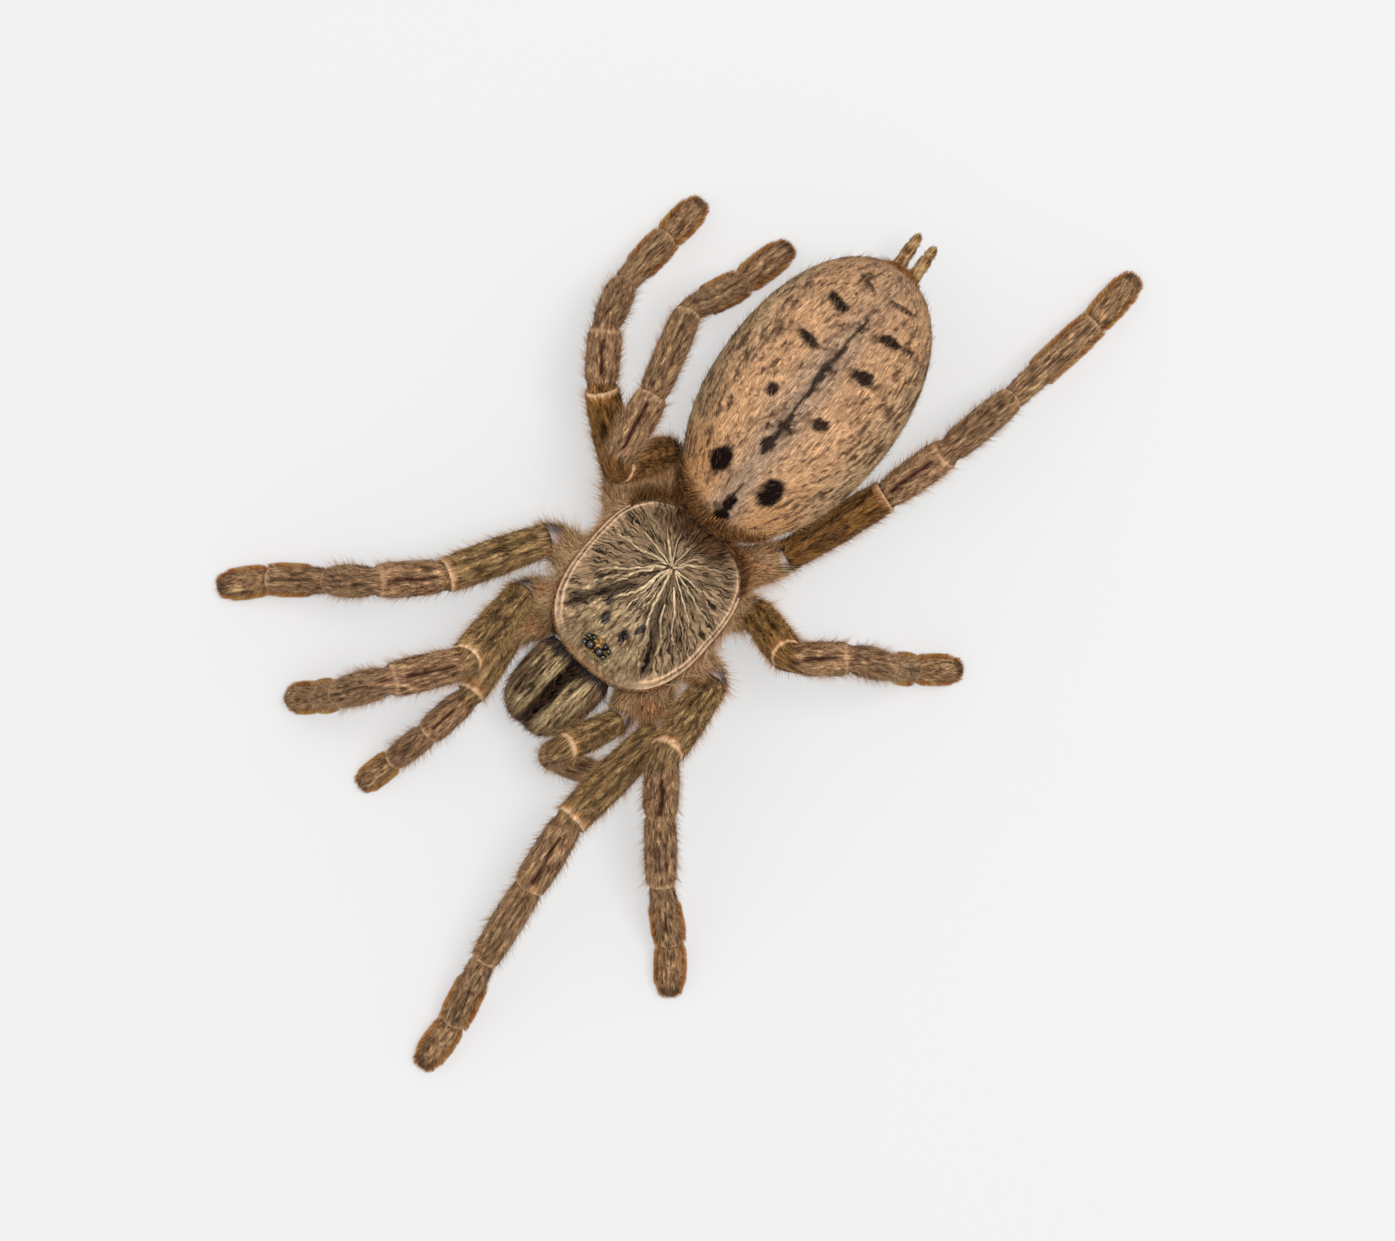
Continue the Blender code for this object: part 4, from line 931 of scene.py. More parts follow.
# Pale hair lines that run out from the fovea, as bends in millimetres about it, and their half widths.
carapaceRays = (
    (((-0.08, -0.28), (-0.75, -3.2), (-1.35, -4.7), (-2.7, -6.1), (-3.4, -7.7)), 0.13),
    (((0.18, -0.28), (0.9, -3.0), (1.35, -4.8), (2.3, -6.4), (3.0, -7.9)), 0.13),
    (((-0.56, -0.48), (-3.0, -2.9), (-4.9, -4.7)), 0.1),
    (((-0.48, -0.44), (-2.5, -3.2), (-3.9, -4.7), (-4.8, -6.8)), 0.1),
    (((-0.52, -0.14), (-3.2, -0.75), (-5.9, -0.9)), 0.1),
    (((-0.4, 0.02), (-2.4, 0.35), (-3.9, 0.75)), 0.08),
    (((-0.2, 0.16), (-2.0, 1.75), (-3.0, 2.8)), 0.11),
    (((-0.08, 0.18), (-0.95, 1.6), (-1.4, 3.1)), 0.06),
    (((-2.3, -3.5), (-3.0, -4.7)), 0.08),
    (((1.5, -1.5), (3.0, -3.1), (3.9, -4.7), (5.1, -5.6)), 0.1),
    (((1.8, -3.1), (2.4, -4.4), (3.9, -6.0), (4.2, -7.1)), 0.1),
    (((0.6, -0.2), (3.3, -1.0), (4.6, -1.5), (6.5, -1.8)), 0.1),
    (((0.6, -0.06), (3.0, -0.15), (5.3, 0.3)), 0.09),
    (((0.68, -0.36), (3.2, -2.0), (4.9, -3.2)), 0.07),
    (((0.14, 0.06), (2.1, 1.6), (4.1, 2.8)), 0.11),
    (((0.32, 0.4), (1.5, 1.9), (2.1, 2.8)), 0.06),
    (((0.06, 0.18), (0.22, 3.2)), 0.06),
    (((-0.02, -0.28), (-0.1, -4.0), (-0.25, -9.0)), 0.05),
    (((0.05, -0.28), (0.15, -4.0), (0.0, -9.0)), 0.05),
    (((-0.35, -2.0), (-0.6, -5.0), (-0.75, -8.6)), 0.05),
    (((0.5, -2.6), (0.5, -5.5), (0.35, -8.6)), 0.05),
)
carapacePatches = (  # bare patches: middle, half width, half length and turn in degrees
    (-2.25, -6.1, 0.32, 0.5, 12), (1.6, -6.35, 0.34, 0.72, -14), (-1.45, -7.5, 0.48, 0.66, 8),
    (0.8, -7.65, 0.42, 0.66, 0),
)
# The dark bands beside the head.
carapaceBands = (((-1.5, -3.4), (-3.1, -5.6), (-5.2, -8.7)), ((1.7, -3.3), (2.8, -5.6), (4.6, -9.2)))


def outlinePoint(angle, spec):
    # a superellipse with a longer front: powers of cosine and sine
    front = np.cos(angle) > 0
    length = np.where(front, spec["frontLength"], spec["rearLength"])
    power = np.where(front, spec["frontPower"], spec["rearPower"])
    x = np.sign(np.sin(angle)) * spec["halfWidth"] * np.abs(np.sin(angle)) ** (2 / power)
    y = spec["waistY"] - np.sign(np.cos(angle)) * length * np.abs(np.cos(angle)) ** (2 / power)
    return np.stack([x, y], -1)


def outlineTowards(direction, spec):
    # the outline's point in each direction from the fovea, read from a fine table of the outline
    angle = np.linspace(-math.pi, math.pi, 4001)
    points = outlinePoint(angle, spec)
    bearing = np.unwrap(np.arctan2(points[:, 0], -points[:, 1]))
    return np.stack([np.interp(direction, bearing, points[:, part]) for part in (0, 1)], -1)


def alongLine(x, y, bends):
    # distance to a bent line, the share of the way along it, from its straight stretches
    best = np.full(x.shape, 9.0)
    place = np.zeros(x.shape)
    stretches = len(bends) - 1
    for k, ((ax, ay), (bx, by)) in enumerate(zip(bends, bends[1:])):
        dx, dy = bx - ax, by - ay
        share = np.clip(((x - ax) * dx + (y - ay) * dy) / (dx * dx + dy * dy), 0, 1)
        away = np.hypot(x - ax - dx * share, y - ay - dy * share)
        closer = away < best
        best = np.where(closer, away, best)
        place = np.where(closer, (k + share) / stretches, place)
    return best, place


def carapaceGrid():
    # heights over the outline, ring by ring from the fovea, and below the rim a skirt that closes the side
    spec = carapace
    direction = fullTurn(spec["around"]) - math.pi
    rim = outlineTowards(direction, spec) * (1 - spec["coatDepth"] / 8)
    reach = np.linspace(0.004, 1, spec["rows"]) ** 0.9
    x, y = reach[:, None] * rim[None, :, 0], reach[:, None] * rim[None, :, 1]
    r = np.broadcast_to(reach[:, None], x.shape)
    edge = spec["rim"] + spec["clypeus"] * ease(-y, 7.0, 11.5)
    dome = spec["thorax"] * (1 - r ** 2.4)
    head = spec["head"] * np.exp(-(np.abs(x) / spec["headHalfWidth"]) ** 3
                                 - (np.abs(y - spec["headY"]) / spec["headHalfLength"]) ** 4) * (1 - r ** 8)
    pit = spec["fovea"] * np.exp(-(np.abs(x + 0.02) / 0.75) ** 2 - (np.abs(y - 0.1) / 0.28) ** 2)
    bearing = np.degrees(np.abs(np.broadcast_to(direction[None], x.shape)))
    furrows = np.zeros(x.shape)
    for angle in spec["furrowAngles"]:
        furrows = np.maximum(furrows, np.exp(-((bearing - angle) / 7) ** 2))
    furrows = furrows * spec["furrow"] * np.sin(math.pi * r)
    z = edge + dome + head - pit - furrows - spec["coatDepth"]
    margin = 0.16 * np.exp(-((r - 0.965) / 0.018) ** 2) - 0.12 * np.exp(-((r - 0.935) / 0.018) ** 2)
    z = z + margin * ease(y, -11.5, -9.0)
    top = np.stack([x, y, z], -1)
    skirt = []
    for inset, drop in spec["skirt"]:
        low = z[-1] + (spec["underside"] + 0.02 - z[-1]) * drop
        skirt.append(np.stack([rim[:, 0] * inset, rim[:, 1] * inset, low], -1))
    return np.concatenate([top, np.stack(skirt)])


def carapaceColour(points):
    # the thorax's brown, the pale lines, the gold head, dark bands and patches, and a pale rim
    spec = carapaceTints
    x, y = points[..., 0], points[..., 1]
    lie = unit(np.stack([x, y, np.zeros_like(x)], -1))
    rim = outlineTowards(np.arctan2(x, -y).ravel(), carapace).reshape(*x.shape, 2)
    reach = np.hypot(x, y) / np.maximum(np.hypot(rim[..., 0], rim[..., 1]), 0.1)
    fine = streaks(points, lie, 0.13, 0.75, 43)
    broad = cloud(points, 1.6, 45)
    colour = spec["thorax"] * (0.65 + 0.7 * broad)[..., None]
    colour = colour * (0.8 + 0.25 * ease(reach, 0.25, 0.6) + 0.3 * ease(reach, 0.6, 0.95))[..., None]
    rayShare = np.zeros(x.shape)
    wave = (cloud(points, 0.55, 46) - 0.5) * 0.3
    for bends, half in carapaceRays:
        gap, place = alongLine(x + wave, y - wave, bends)
        half = half * (0.8 - 0.3 * place) * (0.6 + 0.8 * cloud(points, 0.4, 50))
        rayShare = np.maximum(rayShare, (1 - ease(gap, half * 0.6, half * 1.5)) * (1 - 0.45 * place))
        # painted shade beside each raised pale line, over the ground's own dark, fading out along the line
        dark = (1 - ease(gap, half * 1.4, half * 3.6)) * (1 - 0.8 * place) * 0.7
        colour = blendTo(colour, spec["band"], dark)
    bandShare = np.zeros(x.shape)
    for bends in carapaceBands:
        gap, place = alongLine(x + wave, y, bends)
        bandShare = np.maximum(bandShare, 1 - ease(gap - 0.2 * place, 0.12, 0.5))
    colour = blendTo(colour, spec["band"], bandShare * 0.8)
    colour = blendTo(colour, spec["ray"] * (0.85 + 0.3 * fine)[..., None], np.clip(rayShare, 0, 1))
    inner = np.interp(y, (-12.2, -8.5, -6.2, -4.5), (5.0, 3.9, 2.4, 0.4))
    headShare = ease(inner - np.abs(x + 0.15), -0.1, 0.7) * ease(-y, 5.2, 7.4)
    headShare = np.maximum(headShare, ease(-y, 8.8, 10.2) * (1 - bandShare))
    gilt = ease(0.7 * fine + 0.3 * cloud(points, 0.5, 49), 0.2, 0.7)
    colour = blendTo(colour, blendTo(spec["headDark"], spec["head"], gilt), headShare * 0.8)
    colour = blendTo(colour, spec["front"] * (0.5 + fine)[..., None], ease(-y, 11.0, 11.9) * 0.6)
    for cx, cy, halfX, halfY, turn in carapacePatches:
        c, s = math.cos(math.radians(turn)), math.sin(math.radians(turn))
        across, along = ((x - cx) * c + (y - cy) * s) / halfX, (-(x - cx) * s + (y - cy) * c) / halfY
        spot = 1 - ease(np.hypot(across, along) + (cloud(points, 0.4, 52) - 0.5) * 0.4, 0.85, 1.15)
        colour = blendTo(colour, spec["patch"], spot * 0.92)
        rayShare = rayShare * (1 - spot)
        headShare = headShare * (1 - spot)
    # painted shade under the abdomen's front: the rear middle is darker brown, over the dark hair there
    rear = ease(y, 1.2, 3.4) * (1 - ease(np.abs(x), 2.0, 5.4))
    colour = blendTo(colour, spec["rear"] * (0.6 + 0.8 * fine)[..., None], rear * 0.85)
    sideShare = ease(reach, 0.84, 0.92) * ease(np.abs(x), 2.5, 4.5)
    colour = blendTo(colour, spec["side"] * (0.75 + 0.45 * fine)[..., None], sideShare * 0.6)
    wavy = reach + 0.018 * (cloud(points, 0.9, 53) - 0.5) + 0.01 * (cloud(points, 0.3, 54) - 0.5)
    rimShare = np.exp(-((wavy - 0.985) / 0.026) ** 2) + 0.85 * np.exp(-((wavy - 0.926) / 0.013) ** 2)
    rimShare = rimShare * (0.65 + 0.5 * cloud(points, 1.2, 55))
    rimShare = np.clip(rimShare, 0, 1) * (0.25 + 0.75 * ease(y, -11.3, -9.6)) * (1 - ease(y, 2.4, 3.8))
    colour = blendTo(colour, spec["rim"] * (0.85 + 0.25 * fine)[..., None], rimShare * 0.95)
    groove = np.exp(-((wavy - 0.951) / 0.009) ** 2) * 0.8 * ease(y, -10.5, -8.5)
    colour = blendTo(colour, spec["band"], groove)
    lined = np.clip(1 - 0.75 * rayShare - 0.55 * headShare - 0.7 * rimShare - 0.3 * sideShare, 0.1, 1)
    bald = ease(reach, 0.9, 0.95) * ease(y, -11.5, -10.0)
    hairy = np.clip(rayShare + headShare * 0.6 + 0.05, 0, 1) * (1 - bald)
    return colour, hairy, lie, headShare, rimShare, lined


grid = carapaceGrid()
colour, hairy, lie, headShare, rimShare, lined = carapaceColour(grid)
top, edgeRow, columns = slice(carapace["rows"]), carapace["rows"] - 1, grid.shape[1]
grid[top, :, 2] += 0.05 * np.clip(hairy[top], 0, 1)
tint = np.concatenate([colour, lined[..., None]], -1)
addSkin("carapace_shell", grid, tint, linedFinishes["carapaceShell"], "carapace_fur", "carapace")
shellNormal = gridNormals(grid)

carapaceFur = {"count": 11000, "length": 0.4, "shortest": 0.55, "width": 0.05, "lift": 8}
count = carapaceFur["count"] if fullCoat else 300
spots, root, up, draw = sprinkle(grid[top], shellNormal[top], count, 400, np.clip(hairy[top], 0, 1))
tint, hairy, lie, headShare, rimShare, lined = carapaceColour(root)
lie = unit(lie * (1 - 0.6 * headShare)[:, None] + np.array([0.0, -1.0, 0.0]) * (0.6 * headShare)[:, None])
lie = swerve(lie, up, 0.22 * draw.standard_normal(count))
length, width, lift = tuftSizes(draw, count, carapaceFur, 1 + 0.35 * rimShare, 10 * headShare)
tint = tint * uneven(draw, count, 0.35, 0.4, 2.0) * 1.1
batches = [growTufts(root, up, lie, length, width, lift, tint, spotUv(grid, *spots))]

# Longer hair round the carapace: along its front edge, over its rear edge and out of the gap beneath it. The
# lengths and lifts are the least and what a random number adds, and u is the hair's place on the UV map.
carapaceFringes = {
    "edge": {"count": 3600, "length": (0.4, 0.5), "width": 0.045, "lift": (14, 14), "bend": 0.8, "u": 0.985},
    "rear": {"count": 3400, "length": (1.0, 1.2), "width": 0.055, "lift": (8, 14), "bend": 0.8, "u": 0.97},
    "gap": {"count": 4400, "length": (0.9, 0.7), "width": 0.06, "lift": (14, 10), "bend": None, "u": 0.99},
}


def fringeCount(kind):
    return carapaceFringes[kind]["count"] if fullCoat else 60


def atEdge(row, place, s):
    # points and normals between a row and the next, at places round the carapace counted in columns
    j, t = np.floor(place).astype(int), place % 1
    return readGrid(grid, row, j, s, t), unit(readGrid(shellNormal, row, j, t * 0, t))


def fringe(kind, draw, place, root, up, lie, tint, longer=0, dense=None):
    spec, count = carapaceFringes[kind], len(place)
    length = spec["length"][0] + spec["length"][1] * draw.random(count) + longer
    lift = np.radians(spec["lift"][0] + spec["lift"][1] * draw.random(count))
    keep = slice(None) if dense is None else draw.random(count) < dense
    uv = np.stack([np.full(count, spec["u"]), place / columns], -1)
    bend = lift * spec["bend"] if spec["bend"] else None
    return growTufts(root, up, unit(lie), length, spec["width"], lift, tint, uv, bend, keep)


place = draw.random(fringeCount("edge")) * columns
ahead = ease(-atEdge(edgeRow, place, place * 0)[0][:, 1], 8, 10.5)
place = place[draw.random(len(place)) < 0.1 + 0.9 * ahead]
count = len(place)
root, up = atEdge(edgeRow, place, draw.random(count))
lie = np.stack([root[:, 0], root[:, 1] + 3.4, np.full(count, -1.0)], -1)
lie = lie + 0.35 * draw.standard_normal((count, 3))
tint = blendTo(ink(120, 72, 40), ink(250, 188, 134), draw.random(count))
batches.append(fringe("edge", draw, place, root, up, lie, tint))

count = fringeCount("rear")
place = (draw.random(count) - 0.5) * 0.42 * columns % columns  # the rear is where the grid joins
root, up = atEdge(edgeRow - (draw.random(count) * 5).astype(int), place, draw.random(count))
lie = np.stack([root[:, 0] * 0.1, np.ones(count), np.full(count, 0.05)], -1)
lie = lie + 0.2 * draw.standard_normal((count, 3))
tint = blendTo(ink(84, 48, 24), ink(236, 174, 116), draw.random(count) ** 1.1)
batches.append(fringe("rear", draw, place, root, up, lie, tint))

count = fringeCount("gap")
place = draw.random(count) * columns
row = carapace["rows"] + (draw.random(count) < 0.5).astype(int)
root, up = atEdge(row, place, draw.random(count) * 0.9)
beside = root[:, 1:2] > -9.3  # dark hair points forward in front, orange hair outward at the sides
forward = np.stack([root[:, 0] * 0.02, -np.ones(count), np.full(count, -0.5)], -1)
outward = np.stack([np.sign(root[:, 0]) * 0.8, np.full(count, -0.4), np.full(count, -0.3)], -1)
lie = np.where(beside, outward, forward) + 0.25 * draw.standard_normal((count, 3))
# painted shade: the hair that points forward in front is near black, filling the gap beneath the carapace's
# front with shade
tint = blendTo(ink(30, 19, 12), ink(110, 74, 46), draw.random(count) ** 2)
tint = np.where(beside, blendTo(ink(170, 106, 66), ink(255, 214, 166), draw.random(count)), tint)
longer = beside[:, 0] * (0.7 + 1.0 * (root[:, 1] < -6.6))
dense = (root[:, 1] < 3.5) * (1 - 0.35 * (root[:, 1] > -6))
batches.append(fringe("gap", draw, place, root, up, lie, tint, longer, dense))
addCoat("carapace_coat", batches, "carapace_fur")
print("carapace ready")


# Eyes: a low dark mound with eight glossy eyes, the front middle pair the largest.
eyeMound = {"x": -0.45, "y": -10.0, "z": 11.5, "halfWidth": 1.45, "halfLength": 0.92, "height": 1.15,
            "foot": 11.2, "rows": 36, "around": 96, "hairs": 900}
# Each eye's place across and along the mound, its radius and how far it stands out.
eyePairs = ((0.52, -0.24, 0.37, 1.0), (1.1, -0.42, 0.27, 0.6), (1.14, 0.3, 0.26, 0.6),
            (0.68, 0.46, 0.19, 0.8))
eyes = [(side * across, along, radius, proud)
        for across, along, radius, proud in eyePairs for side in (-1, 1)]
eyeRadii = np.array([radius for across, along, radius, proud in eyes])


def moundPlace(x, y):
    # how far places are from the mound's middle, as shares of its half width and half length
    return (x - eyeMound["x"]) / eyeMound["halfWidth"], (y - eyeMound["y"]) / eyeMound["halfLength"]


def moundHeight(x, y):
    across, along = moundPlace(x, y)
    away = across ** 2 + along ** 2
    return eyeMound["z"] + eyeMound["height"] * np.sqrt(np.clip(1 - away * 0.86, 0.02, 1)) - 0.15


def fromEyes(x, y):
    # distances of places from the middle of each eye, the eyes last
    x, y = x - eyeMound["x"], y - eyeMound["y"]
    return np.stack([np.hypot(x - across, y - along) for across, along, radius, proud in eyes], -1)


def ball(centre, radius, squash, rows=18, around=28):
    # a sphere as rings from its top pole down
    down = math.pi * (np.arange(rows) + 0.5) / rows
    turn = fullTurn(around)
    ring = np.sin(down)[:, None]
    height = np.cos(down)[:, None] * np.ones(around) * squash
    return np.array(centre) + radius * np.stack([ring * np.cos(-turn), ring * np.sin(-turn), height], -1)


turn = fullTurn(eyeMound["around"])
size = np.linspace(0.02, 1.0, eyeMound["rows"])[:, None]
x = eyeMound["x"] + eyeMound["halfWidth"] * size * np.cos(-turn)[None]
y = eyeMound["y"] + eyeMound["halfLength"] * size * np.sin(-turn)[None]
grid = np.stack([x, y, moundHeight(x, y)], -1)
foot = grid[-1:].copy()
foot[..., 2] = eyeMound["foot"]
grid = np.concatenate([grid, foot])
nearest = np.min(fromEyes(x, y) - eyeRadii, axis=-1)
nearest = np.concatenate([nearest, nearest[-1:]])
tint = ink(214, 158, 92) * (0.2 + 1.0 * ease(cloud(grid, 0.12, 51), 0.35, 0.7))[..., None]
tint = blendTo(tint, ink(16, 10, 7), 1 - ease(nearest + 0.3 * (cloud(grid, 0.2, 56) - 0.5), 0.05, 0.3))
addSkin("eye_mound", grid, tint, skinFinish, "carapace_fur", "ocular_mound")

count = eyeMound["hairs"] if fullCoat else 40
spots, root, up, draw = sprinkle(grid[:-1], gridNormals(grid)[:-1], count, 450)
middle = np.array([eyeMound["x"], eyeMound["y"] - 0.2, 12.4])
lie = unit(root - middle + 0.25 * draw.standard_normal((count, 3)))
tint = blendTo(ink(255, 220, 154), ink(60, 38, 20), draw.random(count) ** 2)
outward = np.hypot(*moundPlace(root[:, 0], root[:, 1]))
clear = np.all(fromEyes(root[:, 0], root[:, 1]) > eyeRadii * 1.15, axis=-1)
keep = clear & (draw.random(count) < 0.35 + 0.65 * ease(outward, 0.6, 0.9))
length = (0.2 + 0.2 * draw.random(count)) * (1 + 1.2 * ease(outward, 0.7, 1.0))
lift = np.radians(20 + 8 * draw.standard_normal(count))
batch = growTufts(root, up, lie, length, 0.05, lift, tint, spotUv(grid, *spots), lift * 0.4, keep)
addCoat("mound_coat", [batch], "carapace_fur")
for number, (across, along, radius, proud) in enumerate(eyes):
    x, y = eyeMound["x"] + across, eyeMound["y"] + along
    z = float(moundHeight(x, y)) - radius * 0.15 + 0.05 * proud
    globe = ball((x, y, z), radius, 0.95)
    addSkin("eye_" + str(number), globe, np.full(globe.shape, 0.02), eyeFinish, "eye_gloss")
print("eyes ready")


# Chelicerae: two swollen blocks that run forward and bend down, each with its fang folded beneath.
chelicera = {"baseY": -12.5, "length": 7.3, "halfWidth": 1.92, "halfHeight": 2.6, "baseZ": 7.1, "drop": 2.1,
             "middleX": -0.75, "swing": -0.5, "gap": 0.3, "coatDepth": 0.16, "rows": 150, "around": 110,
             "shares": (-0.06, 0.1, 0.3, 0.5, 0.67, 0.81, 0.9, 0.96, 0.985, 1.0), "innerShift": 0.92,
             "width": (0.9, 0.99, 1.0, 0.98, 0.93, 0.82, 0.67, 0.45, 0.3, 0.03),
             "tall": (0.9, 0.99, 1.0, 0.96, 0.87, 0.73, 0.57, 0.38, 0.25, 0.03)}
cheliceraTints = {
    "dark": ink(28, 19, 12), "gold": ink(240, 202, 150), "pale": ink(255, 232, 190), "bare": ink(42, 39, 43),
    "tip": ink(104, 80, 60), "pink": ink(226, 178, 142), "gap": ink(14, 9, 7),
}
cheliceraFields = ("share", "up", "out", "way")


def cheliceraLine(side, share):
    aside = side * (chelicera["halfWidth"] + chelicera["gap"] / 2)
    x = chelicera["middleX"] + chelicera["swing"] * share + aside
    y = chelicera["baseY"] - chelicera["length"] * share
    z = chelicera["baseZ"] + 0.5 * share - (chelicera["drop"] + 0.5) * np.maximum(share, 0) ** 2.4
    return np.stack([x + 0 * share, y, z], -1)


def cheliceraGrid(side):
    # ellipses square to a line that bends down, moved inward as they narrow
    spec = chelicera
    share = 1 - (1 - np.linspace(0, 0.999, spec["rows"])) ** 1.35
    share = spec["shares"][0] + (1 - spec["shares"][0]) * share
    sizes = []
    for key in ("width", "tall"):
        sharp = np.interp(share, spec["shares"], spec[key])
        soft = np.convolve(np.pad(sharp, 6, mode="edge"), np.ones(13) / 13, mode="valid")
        sizes.append(np.where(share > 0.95, sharp, soft))
    centre = cheliceraLine(side, share)
    way = unit(cheliceraLine(side, share + 0.01) - centre)
    halfWidth = (spec["halfWidth"] - 0.02) * sizes[0]
    centre[:, 0] -= side * (spec["halfWidth"] * (1 - sizes[0]) * spec["innerShift"] + 0.14)
    halfHeight = (spec["halfHeight"] - spec["coatDepth"]) * sizes[1]
    across, upper = squareTo(way)
    angle = fullTurn(spec["around"])
    swing = across[:, None] * (halfWidth[:, None] * np.cos(angle))[..., None]
    swing = swing + upper[:, None] * (halfHeight[:, None] * np.sin(angle))[..., None]
    grid = centre[:, None] + swing
    shape = grid.shape[:2]
    fields = {
        "share": np.broadcast_to(share[:, None], shape),
        "up": np.broadcast_to(np.sin(angle)[None], shape),
        "out": np.broadcast_to(np.cos(angle)[None] * -side, shape),
        "way": np.broadcast_to(way[:, None], grid.shape),
    }
    return grid, fields


def cheliceraColour(points, share, up, out, way):
    # gold fur in long stripes over dark skin, near black between the two as painted shade in the gap, and
    # dark at the bare base
    spec = cheliceraTints
    fine = streaks(points, way, 0.16, 1.3, 61)
    broad = streaks(points, way, 0.36, 3.0, 62, 11)
    gold = np.clip(ease(0.4 * broad + 0.6 * fine, 0.28, 0.66), 0, 1)
    dark, light = spec["dark"] * (0.7 + 0.6 * fine)[..., None], spec["gold"] * (0.6 + 0.7 * fine)[..., None]
    colour = blendTo(dark, light, gold)
    colour = blendTo(colour, spec["pale"], ease(fine, 0.66, 0.85) * gold * 0.7)
    colour = blendTo(colour, spec["tip"] * (0.4 + 0.9 * fine)[..., None], ease(out, 0.7, 0.95) * 0.7)
    # painted shade: the inner sides, facing the other chelicera, go near black
    colour = blendTo(colour, spec["gap"], ease(-out, 0.52, 0.8))
    colour = blendTo(colour, spec["pink"], np.exp(-((out - 0.78) / 0.08) ** 2) * ease(up, 0.0, 0.4) * 0.45)
    stripe = np.exp(-((out - 0.34) / 0.05) ** 2) + np.exp(-((out - 0.66) / 0.05) ** 2)
    stripe = stripe + np.exp(-((out + 0.2) / 0.03) ** 2) * 0.6
    stripe = np.clip(stripe, 0, 1) * ease(up, 0.2, 0.5) * ease(broad, 0.2, 0.4)
    colour = blendTo(colour, spec["dark"], stripe * 0.75)
    colour = blendTo(colour, spec["bare"], (1 - ease(share + 0.05 * (fine - 0.5), 0.02, 0.08)) * 0.9)
    colour = blendTo(colour, spec["tip"] * (0.5 + 0.8 * fine)[..., None], ease(share, 0.72, 0.95) * 0.7)
    return colour


cheliceraFur = {"short": 9000, "long": 900, "length": 0.6, "shortest": 0.6, "width": 0.075, "lift": 10}
sides = ((1, "left"), (-1, "right"))
batches = []
for number, (side, sideName) in enumerate(sides):
    grid, fields = cheliceraGrid(side)
    tint = cheliceraColour(grid, *[fields[key] for key in cheliceraFields]) * 0.85
    solid = "chelicera_" + sideName
    addSkin(solid + "_skin", grid, tint, linedFinishes["cheliceraSkin"], "carapace_fur", solid)
    normal = gridNormals(grid)
    for longer in (False, True):
        count = cheliceraFur["long" if longer else "short"] if fullCoat else 150
        spots, root, up, draw = sprinkle(grid, normal, count, 500 + number * 2 + longer)
        values = [readGrid(fields[key], *spots) for key in cheliceraFields]
        tint = cheliceraColour(root, *values)
        lie = swerve(unit(values[-1]), up, 0.12 * draw.standard_normal(count))
        length, width, lift = tuftSizes(draw, count, cheliceraFur)
        tint = tint * uneven(draw, count, 0.22, 0.5, 1.7) * 1.05
        if longer:
            length, width, lift = length * 1.7, width * 0.5, lift + math.radians(24)
            tint = blendTo(tint, cheliceraTints["pink"], 0.35)
        uv = spotUv(grid, *spots) * (1, 0.46) + (0, 0.02 + number * 0.5)  # each side has half the map
        bend = lift * 0.5 if longer else None
        batches.append(growTufts(root, up, lie, length, width, lift, tint, uv, bend))
addCoat("chelicera_coat", batches, "carapace_fur")
print("chelicerae ready")


fang = {"length": 5.0, "radius": 0.6, "rows": 60, "around": 32, "startShare": 0.84, "below": 2.36}
for side, sideName in sides:
    # a tapered horn that curves down and back under the chelicera
    start = cheliceraLine(side, np.array(fang["startShare"]))
    start = start + np.array([-side * 0.35, 0, -fang["below"]])
    share = np.linspace(0, 0.995, fang["rows"])
    drop = -0.55 * np.sin(math.pi * share) - 0.1 * share + 0.5 * (1 - ease(share, 0, 0.18))
    centre = start + np.stack([-side * 0.25 * share, -0.45 + (fang["length"] + 0.45) * share, drop], -1)
    radius = fang["radius"] * np.minimum(1, ease(share, -0.12, 0.05) + 0.4) * (1 - 0.93 * share ** 1.15)
    grid = tube(centre, *squareTo(unit(np.gradient(centre, axis=0))), radius, fang["around"])
    solid = "fang_" + sideName
    addSkin(solid + "_horn", grid, np.full(grid.shape, 0.02), fangFinish, "fang_horn", solid)
print("fangs ready")


# Underside of the front body: the flanks that the coxae grow from, and the sternum plate with its lip.
flank = {"inset": 0.92, "rows": 26, "around": 120, "top": 8.75, "bottom": 4.3, "frontY": -12.1}


def flankGrid():
    # the carapace's outline drawn in as it goes down
    turn = fullTurn(flank["around"]) - math.pi
    rim = outlineTowards(turn, carapace)
    share = np.linspace(0, 1, flank["rows"])
    scale = flank["inset"] * (1 - share ** 2.6) ** 0.6 + 0.01
    z = flank["top"] + (flank["bottom"] - flank["top"]) * share ** 0.8
    xy = rim[None] * scale[:, None, None]
    xy[..., 1] = np.maximum(xy[..., 1], flank["frontY"])
    return np.concatenate([xy, np.broadcast_to(z[:, None, None], (*xy.shape[:2], 1))], -1)


def addPlain(name, grid, dark, light, size, seed, slot, *nodes):
    # a skin with a cloudy blend of two colours
    addSkin(name, grid, blendTo(dark, light, cloud(grid, size, seed)), skinFinish, slot, *nodes)


addPlain("flanks_skin", flankGrid(), ink(92, 68, 50), ink(134, 104, 78), 0.5, 71, "leg_fur",
         "coxae_left", "coxae_right")

